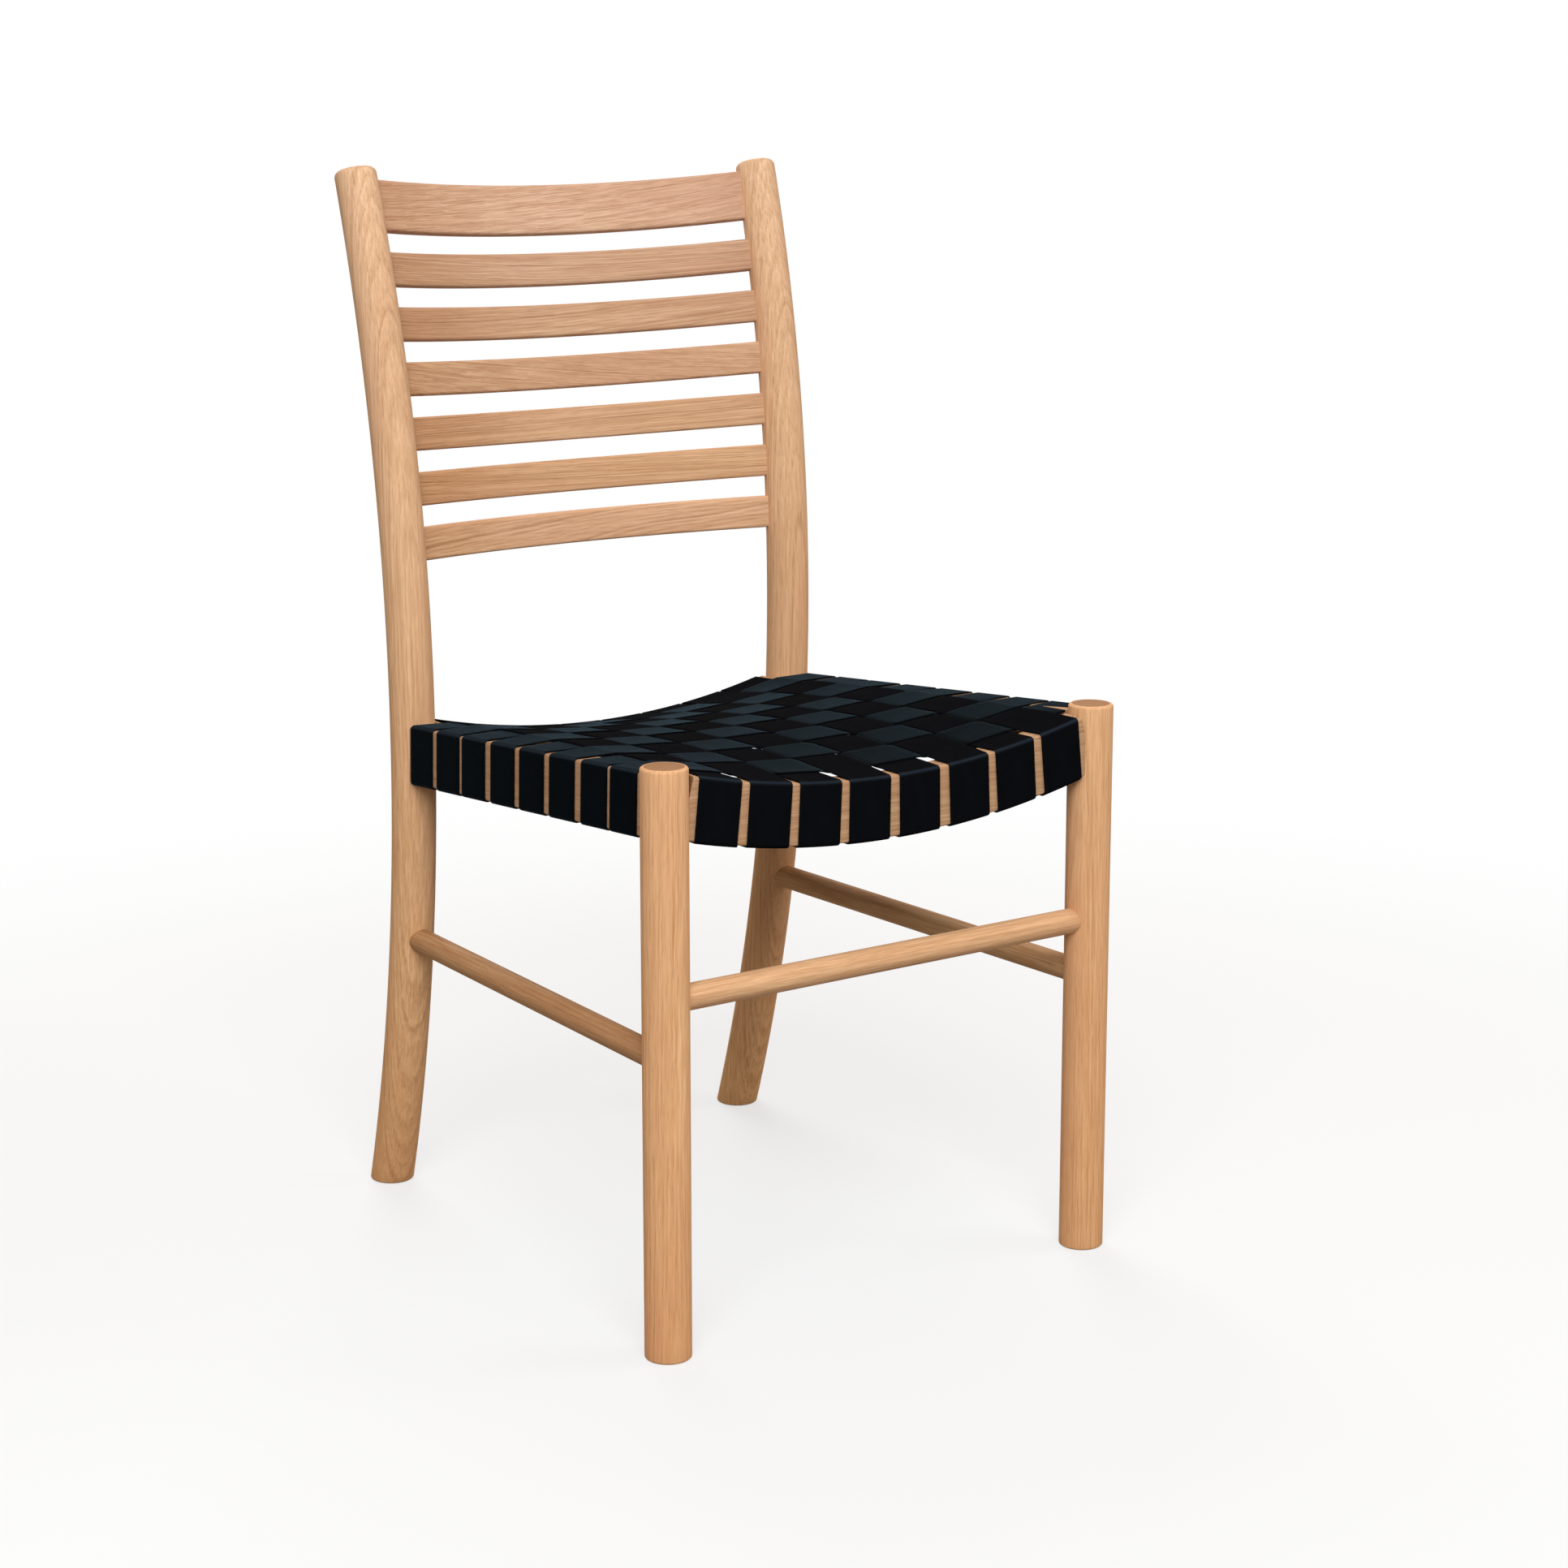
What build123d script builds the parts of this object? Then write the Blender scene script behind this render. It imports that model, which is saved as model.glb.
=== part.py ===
"""Ladder-back dining chair: round oak frame, seven bowed back slats, woven strap seat.

Millimetres, +Z up, the sitter faces -Y.  The model is drawn with the front legs at Y = 0
and moved at the end so that the origin lies under the middle of the whole chair, on the floor.
"""

import os
from math import asin, atan2, cos, pi, sin, sqrt

from build123d import *

# Front legs
leg_dia = 36.5
leg_spacing = 411.8
leg_proud = 5.1
leg_top_round = 2.5
foot_round = 2.0

# Rear posts: one circular arc seen from the side, leaning outwards seen from the front
post_top_height = 880.5
post_foot_dia = 37.3
post_seat_dia = 37.7
post_top_dia = 34.9
post_foot_spacing = 370.4
post_top_spacing = 402.6
post_arc_radius = 1485.0
post_waist_height = 455.0
post_top_round = 5.0

# Seat frame
seat_front_height = 454.9
seat_drop = 32.4
seat_depth = 405.2
rail_height = 48.5
rail_thick = 22.0
rail_round = 2.0
rail_shoulder = 1.5
rail_end_ease = 0.8
front_rail_dip = 28.5
front_rail_rise = 2.4
rear_rail_dip = 27.6
rear_rail_rise = 5.0

# Back slats, spaced along the posts from their tops
crest_drop = 7.7
crest_height = 43.2
slat_height = 28.0
slat_gap = 18.2
slat_count = 6
slat_thick = 12.0
slat_round = 2.5
slat_bow = 42.0
slat_tenon = 14.0

# Stretchers
stretcher_dia = 20.6
side_stretcher_height = 233.8
stretcher_stagger = 47.2
stretcher_socket = 19.0

# Dowels that hold the seat rails
dowel_dia = 8.0
dowel_in_rail = 21.0
dowel_pitch = 24.0
dowel_web = 1.3

# Woven straps and their tacks
strap_width = 39.5
strap_thick = 1.4
strap_least_gap = 2.0
strap_fan = 0.55
front_gap_shares = (5.4, 6.4, 7.3, 8.5, 9.1, 6.5, 5.9)
side_gap_shares = (4.0, 9.0, 8.0, 7.5, 9.0, 4.5, 7.0)
weave_lift = 15.5
strap_tail = 24.0
tack_head_dia = 7.0
tack_head_thick = 1.0
tack_shank_dia = 1.8
tack_shank_length = 8.0
tack_pitch = 20.0
tack_inset = 8.5

# Fits
socket_gap = 0.1
socket_end_gap = 0.6
mortise_gap = 0.12
strap_seat_gap = 0.5
strap_cross_gap = 0.6
strap_ease = 0.6
strap_end_gap = 0.6
tack_gap = 0.1

SIDES = (("left", 1), ("right", -1))
POST_SECTIONS = 9
CORNER_STEPS = 4

leg_r = leg_dia / 2
leg_x = leg_spacing / 2
leg_height = seat_front_height + leg_proud
slat_pitch = slat_height + slat_gap
strap_lift = strap_seat_gap + strap_thick / 2
weave_step = (strap_thick + strap_cross_gap) / 2
flat_run = strap_width + 2 * strap_ease


def mix(a, b, t):
    return a + (b - a) * t


def post_y(z):
    """Depth of a post's axis at height z, on the arc."""
    return seat_depth + post_arc_radius - sqrt(post_arc_radius**2 - (z - post_waist_height) ** 2)


def post_x(z):
    """Half the distance between the post axes at height z."""
    return mix(post_foot_spacing, post_top_spacing, z / post_top_height) / 2


def post_r(z):
    """Radius of a post at height z: fullest at the seat, finest at the top."""
    waist = seat_front_height - seat_drop
    if z < waist:
        return mix(post_foot_dia, post_seat_dia, z / waist) / 2
    t = (z - waist) / (post_top_height - waist)
    return mix(post_seat_dia, post_top_dia, t * t) / 2


def post_lean(z):
    """Backward lean of a post at height z, in radians."""
    return asin((z - post_waist_height) / post_arc_radius)


def post_plane(z, side):
    """Plane across a post at height z."""
    slope_x = side * (post_top_spacing - post_foot_spacing) / 2 / post_top_height
    lean = post_lean(z)
    return Plane(
        origin=(side * post_x(z), post_y(z), z),
        x_dir=(1, 0, -slope_x * cos(lean)),
        z_dir=(slope_x * cos(lean), sin(lean), cos(lean)),
    )


def height_down_post(distance):
    """Height of the point that lies a distance along the post below its top."""
    top_angle = post_lean(post_top_height)
    return post_waist_height + post_arc_radius * sin(top_angle - distance / post_arc_radius)


def rod(start, end, radius):
    """Round bar between two points."""
    axis = end - start
    return extrude(Plane(origin=start, z_dir=axis) * Circle(radius), axis.length)


def post_blank(side):
    """Bent and tapered post, cut flat on the floor."""
    below = post_foot_dia
    heights = [mix(-below, post_top_height, i / POST_SECTIONS) for i in range(POST_SECTIONS + 1)]
    blank = loft([post_plane(z, side) * Circle(post_r(max(z, 0))) for z in heights])
    floor = Box(4 * below, 4 * below, 4 * below, align=(Align.CENTER, Align.CENTER, Align.MAX))
    return blank - Pos(side * post_x(0), post_y(0), 0) * floor


def slat_solid(z, height, gap=0.0):
    """Bowed slat whose mid line runs through both post axes at height z."""
    chord = post_x(z)
    radius = (chord**2 + slat_bow**2) / (2 * slat_bow)
    end_x = chord - post_r(z) + slat_tenon + (socket_end_gap if gap else 0)
    end_angle = asin(end_x / radius)
    outer = radius + slat_thick / 2 + gap
    inner = radius - slat_thick / 2 - gap

    def on_arc(r, angle):
        return (r * sin(angle), slat_bow - radius + r * cos(angle))

    outline = [
        ThreePointArc(on_arc(outer, -end_angle), on_arc(outer, 0), on_arc(outer, end_angle)),
        Line(on_arc(outer, end_angle), on_arc(inner, end_angle)),
        ThreePointArc(on_arc(inner, end_angle), on_arc(inner, 0), on_arc(inner, -end_angle)),
        Line(on_arc(inner, -end_angle), on_arc(outer, -end_angle)),
    ]
    slat = extrude(make_face(outline), height / 2 + gap, both=True)
    slat = fillet(slat.edges().filter_by(GeomType.CIRCLE), slat_round + gap)
    lean = post_lean(z)
    plane = Plane(origin=(0, post_y(z), z), x_dir=(1, 0, 0), z_dir=(0, sin(lean), cos(lean)))
    return plane * slat


def rail_arc_radius(half_span, dip):
    return (half_span**2 + dip**2) / (2 * dip)


def rail_top(x, top_mid, half_span, dip):
    """Height of a dipped rail's top face at x."""
    radius = rail_arc_radius(half_span, dip)
    return top_mid + radius - sqrt(radius**2 - x**2)


def rail_slope(x, half_span, dip):
    """Angle of a dipped rail at x, in radians."""
    return asin(x / rail_arc_radius(half_span, dip))


def housing_depth(upright_r):
    """How far a rail's end goes into a round upright, so that its whole end face is buried."""
    return upright_r - sqrt(upright_r**2 - (rail_thick / 2) ** 2) + rail_shoulder


def rail_end(upright_r, gap):
    """Distance from an upright's axis to the end of a rail, or of its housing where gap is given."""
    return upright_r - housing_depth(upright_r) - (socket_end_gap if gap else 0)


def eased_ends(rail, along):
    """Rail whose two end faces have chamfered edges."""
    faces = rail.faces().sort_by(along)
    return chamfer(faces[0].edges() + faces[-1].edges(), rail_end_ease)


def dipped_rail(y, top_mid, half_span, dip, upright_r, gap=0.0):
    """Rail between concentric arcs, lowest in the middle; gap makes it the housing's cut."""
    radius = rail_arc_radius(half_span, dip)
    end_x = half_span - rail_end(upright_r, gap)
    ring = Circle(radius + rail_height + gap) - Circle(radius - gap)
    band = ring & (Pos(0, -radius) * Rectangle(2 * end_x, 2 * (dip + rail_height)))
    rail = extrude(band, rail_thick / 2 + gap, both=True)
    rail = fillet(rail.edges().filter_by(GeomType.CIRCLE), rail_round + gap)
    rail = rail if gap else eased_ends(rail, Axis.X)
    upright = Plane(origin=(0, y, top_mid + radius), x_dir=(1, 0, 0), z_dir=(0, -1, 0))
    return upright * rail


# Seat frame lines
rear_height = seat_front_height - seat_drop
rear_rail_height = rear_height + rear_rail_rise
post_seat_z = rear_height - rail_height / 2
post_seat_x = post_x(post_seat_z)
post_seat_y = post_y(post_seat_z)
post_seat_r = post_r(post_seat_z)
front_mid = seat_front_height + front_rail_rise - front_rail_dip
rear_mid = rear_rail_height - rear_rail_dip


def front_rail_top(x):
    return rail_top(x, front_mid, leg_x, front_rail_dip)


def rear_rail_top(x):
    return rail_top(x, rear_mid, post_seat_x, rear_rail_dip)


def side_rail_x(y):
    return mix(leg_x, post_seat_x, y / post_seat_y)


def side_rail_top(y):
    return mix(seat_front_height, rear_height, y / post_seat_y)


def side_rail_plane(side):
    """Plane along a side rail: X runs back along the rail, Z is up, at mid height."""
    start = Vector(side * leg_x, 0, seat_front_height - rail_height / 2)
    end = Vector(side * post_seat_x, post_seat_y, rear_height - rail_height / 2)
    along = (end - start).normalized()
    level = Vector(0, 0, 1).cross(along)
    return Plane(origin=start, x_dir=along, z_dir=along.cross(level)), (end - start).length


def side_rail(side, gap=0.0):
    """Straight rail with upright ends; gap makes it the cut for its two housings."""
    plane, length = side_rail_plane(side)
    along = Vector(plane.x_dir.X, plane.x_dir.Y, 0)
    start = rail_end(leg_r, gap)
    reach = length * along.length - rail_end(post_seat_r, gap) - start
    from_start = (Align.MIN, Align.CENTER, Align.CENTER)
    bar = Box(length, rail_thick + 2 * gap, rail_height + 2 * gap, align=from_start)
    bar = fillet(bar.edges().filter_by(Axis.X), rail_round + gap)
    level = Plane(origin=plane.origin + along.normalized() * start, x_dir=along, z_dir=(0, 0, 1))
    between = Box(reach, 2 * rail_thick, 4 * rail_height, align=from_start)
    rail = (plane * bar) & (level * between)
    return rail if gap else eased_ends(rail, Axis(level.origin, along))


def leg_blank():
    leg = Cylinder(leg_r, leg_height, align=(Align.CENTER, Align.CENTER, Align.MIN))
    leg = fillet(leg.edges().group_by(Axis.Z)[-1], leg_top_round)
    return fillet(leg.edges().group_by(Axis.Z)[0], foot_round)


# Dowels: each goes into the upright as far as the dowel that crosses it allows
def dowel_depth(upright_r):
    return upright_r - dowel_dia / 2 - socket_gap - dowel_web


def dowel_pair(face, inward, up, upright_r):
    """Two dowels and their drillings, across the joint between an upright and a rail end.

    face is where the rail's middle line meets the upright and inward points along the rail.
    """
    pins = []
    drillings = []
    for offset in (-dowel_pitch / 2, dowel_pitch / 2):
        centre = face + up * offset
        start = centre - inward * dowel_depth(upright_r)
        end = centre + inward * dowel_in_rail
        pins.append(rod(start, end, dowel_dia / 2))
        over = inward * socket_end_gap
        drillings.append(rod(start - over, end + over, dowel_dia / 2 + socket_gap))
    return pins, drillings


def rail_end_dowels():
    """Dowel pairs by rail, and the drillings for each upright and rail."""
    pins = {"front": [], "rear": [], "left": [], "right": []}
    holes = {}
    for name, side in SIDES:
        inward = Vector(-side, 0, 0)
        up = Vector(0, 0, 1)
        leg_face_x = leg_x - leg_r
        post_face_x = post_seat_x - post_seat_r
        front_face = Vector(side * leg_face_x, 0, front_rail_top(leg_face_x) - rail_height / 2)
        rear_z = rear_rail_top(post_face_x) - rail_height / 2
        rear_face = Vector(side * post_face_x, post_seat_y, rear_z)
        plane, length = side_rail_plane(side)
        along = plane.x_dir
        leg_face = plane.origin + along * leg_r
        post_face = plane.origin + along * (length - post_seat_r)
        leg = f"front_leg_{name}"
        post = f"rear_post_{name}"
        rail = f"side_seat_rail_{name}"
        joints = (
            ("front", front_face, inward, up, leg_r, leg, "front_seat_rail"),
            ("rear", rear_face, inward, up, post_seat_r, post, "rear_seat_rail"),
            (name, leg_face, along, plane.z_dir, leg_r, leg, rail),
            (name, post_face, -along, plane.z_dir, post_seat_r, post, rail),
        )
        for group, face, inwards, upward, upright_r, *joined in joints:
            pair, drilled = dowel_pair(face, inwards, upward, upright_r)
            pins[group] += pair
            for piece in joined:
                holes.setdefault(piece, []).extend(drilled)
    return pins, holes


# Stretchers
def stretcher(start, end, start_r, end_r):
    """Round stretcher between two upright axes, and the same bar with its fit added."""
    along = (end - start).normalized()
    first = start + along * (start_r - stretcher_socket)
    last = end - along * (end_r - stretcher_socket)
    over = along * socket_end_gap
    bar = rod(first, last, stretcher_dia / 2)
    return bar, rod(first - over, last + over, stretcher_dia / 2 + socket_gap)


# Woven seat
def spread(start, end, count, shares):
    """Centres of count straps between two edges, with uneven gaps in the given shares."""
    free = end - start - count * strap_width
    parts = [shares[i % len(shares)] for i in range(count - 1)]
    centres = [start + strap_width / 2]
    for part in parts:
        centres.append(centres[-1] + strap_width + free * part / sum(parts))
    return centres


def straps_that_fit(length):
    return int((length + strap_least_gap) // (strap_width + strap_least_gap))


def fan_room(half_span, dip, edge):
    """How far the outermost strap's foot stands outside its top on a dipped rail."""
    return strap_fan * (rail_height + 2 * strap_lift) * sin(rail_slope(edge, half_span, dip))


def strap_edge(half_span, dip, upright_r):
    """Outermost strap edge on a dipped rail's top, clear of the upright down to its foot."""
    face = half_span - upright_r - strap_end_gap
    return face - fan_room(half_span, dip, face)


front_edge = strap_edge(leg_x, front_rail_dip, leg_r)
rear_edge = strap_edge(post_seat_x, rear_rail_dip, post_seat_r)
warp_count = straps_that_fit(2 * rear_edge)
warp_front = spread(-front_edge, front_edge, warp_count, front_gap_shares)
warp_rear = spread(-rear_edge, rear_edge, warp_count, (1.0,))
weft_start = leg_r + strap_end_gap
weft_end = seat_depth - post_seat_dia / 2 - strap_end_gap
weft_count = straps_that_fit(weft_end - weft_start)
weft_y = spread(weft_start, weft_end, weft_count, side_gap_shares)


def seat_z(x, y):
    """Middle surface of the weave: the rails' curves joined, lifted where the straps pull level."""
    v = y / post_seat_y
    u = x / side_rail_x(y)
    front = front_rail_top(u * leg_x)
    rear = rear_rail_top(u * post_seat_x)
    return mix(front, rear, v) + strap_lift + weave_lift * (1 - u * u) * 4 * v * (1 - v)


def seat_slopes(x, y):
    """Slopes of the middle surface along X and Y."""
    step = 0.5
    along_x = (seat_z(x + step, y) - seat_z(x - step, y)) / (2 * step)
    along_y = (seat_z(x, y + step) - seat_z(x, y - step)) / (2 * step)
    return along_x, along_y


def warp_x(i, y):
    return mix(warp_front[i], warp_rear[i], y / post_seat_y)


def warp_on_top(i, j):
    return (i + j) % 2 == 1


def wrap_line(leave):
    """Strap's way round a rail, as offset outwards, height from the rail's top and facing angle.

    leave is the angle by which the strap bends down over the rail's inner edge as it goes.
    """
    half = rail_thick / 2 + strap_lift
    low = -rail_height - strap_lift
    bend = rail_round + strap_lift
    line = [(-half, strap_tail - rail_height, pi)]
    corners = ((-1, low + bend, pi), (1, low + bend, 1.5 * pi), (1, strap_lift - bend, 2 * pi))
    for across, middle, first in corners:
        for step in range(CORNER_STEPS + 1):
            angle = first + step * pi / 2 / CORNER_STEPS
            line.append((across * (half - bend) + bend * cos(angle), middle + bend * sin(angle), angle))
    for angle in (pi / 2, pi / 2 + leave):
        line.append((bend - half + bend * cos(angle), strap_lift - bend + bend * sin(angle), angle))
    return line if leave else line[:-1]


def wrap_point(top, outward, up, along, fan_angle, offset, height):
    """Point beside a rail; the strap fans by only a share of the rail's own angle."""
    slip = (1 - strap_fan) * height * sin(fan_angle)
    return top + outward * offset + up * height + along * slip


def leave_angle(top, outward, up, goal):
    """Angle below the rail's top at which a strap leaves it for the woven field."""
    run = rail_round + strap_lift - rail_thick / 2 - strap_lift - (goal - top).dot(outward)
    drop = strap_lift - (goal - top).dot(up)
    return max(0, atan2(drop, run))


def wrap_sections(frame, goal):
    """Strap sections round a rail, on the way to goal: middle, width and thickness directions."""
    top, outward, up, along, fan_angle = frame
    sections = []
    for offset, height, angle in wrap_line(leave_angle(top, outward, up, goal)):
        middle = wrap_point(top, outward, up, along, fan_angle, offset, height)
        sections.append((middle, along, outward * cos(angle) + up * sin(angle)))
    return sections


def tack_places(top, outward, up, along, fan_angle):
    """Points on the strap's inner face where its tacks go in, and the way they point."""
    offset = -(rail_thick / 2 + strap_seat_gap + strap_thick)
    height = strap_tail - tack_inset - rail_height
    middle = wrap_point(top, outward, up, along, fan_angle, offset, height)
    return [(middle + along * s, outward) for s in (-tack_pitch / 2, tack_pitch / 2)]


def warp_frame(i, at_front):
    """Place of front-to-back strap i on the front or rear rail."""
    x = (warp_front if at_front else warp_rear)[i]
    half_span, dip = (leg_x, front_rail_dip) if at_front else (post_seat_x, rear_rail_dip)
    slope = rail_slope(x, half_span, dip)
    y = 0 if at_front else post_seat_y
    top = Vector(x, y, front_rail_top(x) if at_front else rear_rail_top(x))
    outward = Vector(0, -1 if at_front else 1, 0)
    return top, outward, Vector(-sin(slope), 0, cos(slope)), Vector(cos(slope), 0, sin(slope)), slope


def weft_frame(j, side):
    """Place of side-to-side strap j on one side rail."""
    y = weft_y[j]
    along = side_rail_plane(side)[0].x_dir
    outward = Vector(side * along.Y, -side * along.X, 0).normalized()
    top = Vector(side * side_rail_x(y), y, side_rail_top(y))
    slope = asin(along.Z)
    return top, outward, Vector(0, 0, 1), along, slope


def weave_section(x, y, lift, along_warp):
    """Strap section in the woven field, standing on the middle surface."""
    slope_x, slope_y = seat_slopes(x, y)
    across = Vector(1, 0, slope_x) if along_warp else Vector(0, 1, slope_y)
    normal = Vector(-slope_x, -slope_y, 1).normalized()
    return Vector(x, y, seat_z(x, y) + lift), across.normalized(), normal


def strap_solid(sections):
    """Strap of one width and thickness, lofted straight from section to section."""
    wires = []
    for middle, across, normal in sections:
        half = across * (strap_width / 2)
        skin = normal * (strap_thick / 2)
        corners = [middle - half - skin, middle + half - skin, middle + half + skin, middle - half + skin]
        wires.append(Wire.make_polygon(corners, close=True))
    return Solid.make_loft(wires, ruled=True)


def wrapped_strap(woven, first_frame, last_frame):
    """Strap from its first rail through the woven field to its last rail."""
    first = wrap_sections(first_frame, woven[0][0])
    last = wrap_sections(last_frame, woven[-1][0])
    return strap_solid(first + woven + last[::-1])


def front_to_back_strap(i):
    woven = []
    for j, y in enumerate(weft_y):
        lift = weave_step if warp_on_top(i, j) else -weave_step
        for edge in (y - flat_run / 2, y + flat_run / 2):
            woven.append(weave_section(warp_x(i, edge), edge, lift, True))
    return wrapped_strap(woven, warp_frame(i, True), warp_frame(i, False))


def side_to_side_strap(j):
    y = weft_y[j]
    woven = []
    for i in range(warp_count):
        lift = -weave_step if warp_on_top(i, j) else weave_step
        for edge in (-flat_run / 2, flat_run / 2):
            woven.append(weave_section(warp_x(i, y) + edge, y, lift, False))
    return wrapped_strap(woven, weft_frame(j, -1), weft_frame(j, 1))


def tack(place, inward):
    """Round-headed tack standing on the strap and driven into the rail."""
    seat = place - inward * tack_gap
    head = rod(seat - inward * tack_head_thick, seat, tack_head_dia / 2)
    return head + rod(seat, seat + inward * tack_shank_length, tack_shank_dia / 2)


def tack_hole(place, inward):
    start = place - inward * tack_head_thick
    return rod(start, place + inward * (tack_shank_length + socket_end_gap), tack_shank_dia / 2 + tack_gap)


def build():
    nodes = {}
    dowels, dowel_holes = rail_end_dowels()

    # Back slats and the mortises they leave in the posts
    slat_heights = [(height_down_post(crest_drop + crest_height / 2), crest_height)]
    below_crest = crest_drop + crest_height + slat_gap + slat_height / 2
    slat_heights += [(height_down_post(below_crest + k * slat_pitch), slat_height) for k in range(slat_count)]
    mortises = [slat_solid(z, height, mortise_gap) for z, height in slat_heights]
    nodes["crest_rail"] = slat_solid(*slat_heights[0])
    for k in range(slat_count):
        nodes[f"back_slat_{k + 1}"] = slat_solid(*slat_heights[k + 1])

    # Stretchers and their sockets
    front_z = side_stretcher_height + stretcher_stagger
    front_bar, front_socket = stretcher(Vector(leg_x, 0, front_z), Vector(-leg_x, 0, front_z), leg_r, leg_r)
    nodes["front_stretcher"] = front_bar
    side_sockets = {}
    for name, side in SIDES:
        z = side_stretcher_height
        start = Vector(side * leg_x, 0, z)
        end = Vector(side * post_x(z), post_y(z), z)
        bar, side_sockets[name] = stretcher(start, end, leg_r, post_r(z))
        nodes[f"side_stretcher_{name}"] = bar

    # Uprights
    front_rail_place = (0, front_mid, leg_x, front_rail_dip, leg_r)
    rear_rail_place = (post_seat_y, rear_mid, post_seat_x, rear_rail_dip, post_seat_r)
    front_housing = dipped_rail(*front_rail_place, mortise_gap)
    rear_housing = dipped_rail(*rear_rail_place, mortise_gap)
    for name, side in SIDES:
        leg = Pos(side * leg_x, 0, 0) * leg_blank()
        side_cuts = [side_rail(side, mortise_gap), side_sockets[name]]
        leg_cuts = side_cuts + [front_housing, front_socket] + dowel_holes[f"front_leg_{name}"]
        nodes[f"front_leg_{name}"] = leg - leg_cuts
        post = post_blank(side)
        post = fillet(post.edges().group_by(Axis.Z)[-1], post_top_round)
        post = fillet(post.edges().group_by(Axis.Z)[0], foot_round)
        post_cuts = mortises + side_cuts + [rear_housing] + dowel_holes[f"rear_post_{name}"]
        nodes[f"rear_post_{name}"] = post - post_cuts

    # Straps with the tacks at both ends, and the holes that the tacks need in each rail
    tacks = {"front": [], "rear": [], "left": [], "right": []}
    rail_tack_holes = {key: [] for key in tacks}

    def tacked(strap, frames):
        holes = []
        for group, frame in frames:
            places = tack_places(*frame)
            tacks[group] += [tack(*place) for place in places]
            drilled = [tack_hole(*place) for place in places]
            rail_tack_holes[group] += drilled
            holes += drilled
        return strap - holes

    for i in range(warp_count):
        frames = (("front", warp_frame(i, True)), ("rear", warp_frame(i, False)))
        nodes[f"front_to_back_strap_{i + 1}"] = tacked(front_to_back_strap(i), frames)
    for j in range(weft_count):
        frames = [(name, weft_frame(j, side)) for name, side in SIDES]
        nodes[f"side_to_side_strap_{j + 1}"] = tacked(side_to_side_strap(j), frames)

    # Seat rails
    front_cuts = dowel_holes["front_seat_rail"] + rail_tack_holes["front"]
    nodes["front_seat_rail"] = dipped_rail(*front_rail_place) - front_cuts
    rear_cuts = dowel_holes["rear_seat_rail"] + rail_tack_holes["rear"]
    nodes["rear_seat_rail"] = dipped_rail(*rear_rail_place) - rear_cuts
    for name, side in SIDES:
        rail_cuts = dowel_holes[f"side_seat_rail_{name}"] + rail_tack_holes[name]
        nodes[f"side_seat_rail_{name}"] = side_rail(side) - rail_cuts

    for group, pins in dowels.items():
        nodes[f"{group}_rail_dowels"] = Compound(children=pins)
    for group, nails in tacks.items():
        nodes[f"{group}_rail_tacks"] = Compound(children=nails)
    return nodes


nodes = build()
box = Compound([solid for node in nodes.values() for solid in node.solids()]).bounding_box()
to_origin = Pos(0, -(box.min.Y + box.max.Y) / 2, 0)
os.makedirs("parts", exist_ok=True)
for name, node in nodes.items():
    export_step(to_origin * Compound([solid for solid in node.solids()]), f"parts/{name}.step")
print(f"{len(nodes)} nodes, size {box.size.X:.1f} x {box.size.Y:.1f} x {box.size.Z:.1f} mm")
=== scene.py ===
import math

import bpy
import numpy as np
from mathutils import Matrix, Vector


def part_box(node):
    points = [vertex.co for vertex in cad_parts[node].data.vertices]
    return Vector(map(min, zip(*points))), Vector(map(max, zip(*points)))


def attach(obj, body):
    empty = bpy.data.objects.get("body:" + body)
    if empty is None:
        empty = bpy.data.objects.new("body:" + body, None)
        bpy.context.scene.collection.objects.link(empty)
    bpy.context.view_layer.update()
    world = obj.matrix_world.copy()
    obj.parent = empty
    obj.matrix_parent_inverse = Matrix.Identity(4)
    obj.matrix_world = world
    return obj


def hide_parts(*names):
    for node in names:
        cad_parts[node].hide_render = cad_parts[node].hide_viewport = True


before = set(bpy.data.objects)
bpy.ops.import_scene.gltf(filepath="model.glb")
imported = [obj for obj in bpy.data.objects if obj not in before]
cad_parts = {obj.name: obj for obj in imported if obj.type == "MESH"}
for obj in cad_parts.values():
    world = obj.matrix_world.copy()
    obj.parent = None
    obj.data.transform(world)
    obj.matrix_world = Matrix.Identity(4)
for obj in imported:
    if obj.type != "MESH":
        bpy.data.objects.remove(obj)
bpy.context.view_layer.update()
print("frame loaded with", len(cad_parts), "nodes")


# Middle and size of a node's box.
def middleOf(node):
    low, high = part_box(node)
    return (np.array(low) + np.array(high)) / 2, np.array(high) - np.array(low)


# Straight mix: a where t is 0 and b where t is 1.
def mix(a, b, t):
    return a + (b - a) * t


# Step from 0 to 1 with level ends: three t squared less two t cubed.
def smoothStep(t):
    t = np.clip(t, 0.0, 1.0)
    return t * t * (3 - 2 * t)


# Each vector over its own length.
def unit(vectors):
    return vectors / np.linalg.norm(vectors, axis=-1, keepdims=True)


# The front legs' axes lie at legLine; every depth below is counted back from there.
legMiddle, legSize = middleOf("front_leg_left")
legLine = legMiddle[1]
crispAngle = math.radians(50)  # edges sharper than this aren't shaded smooth


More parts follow.
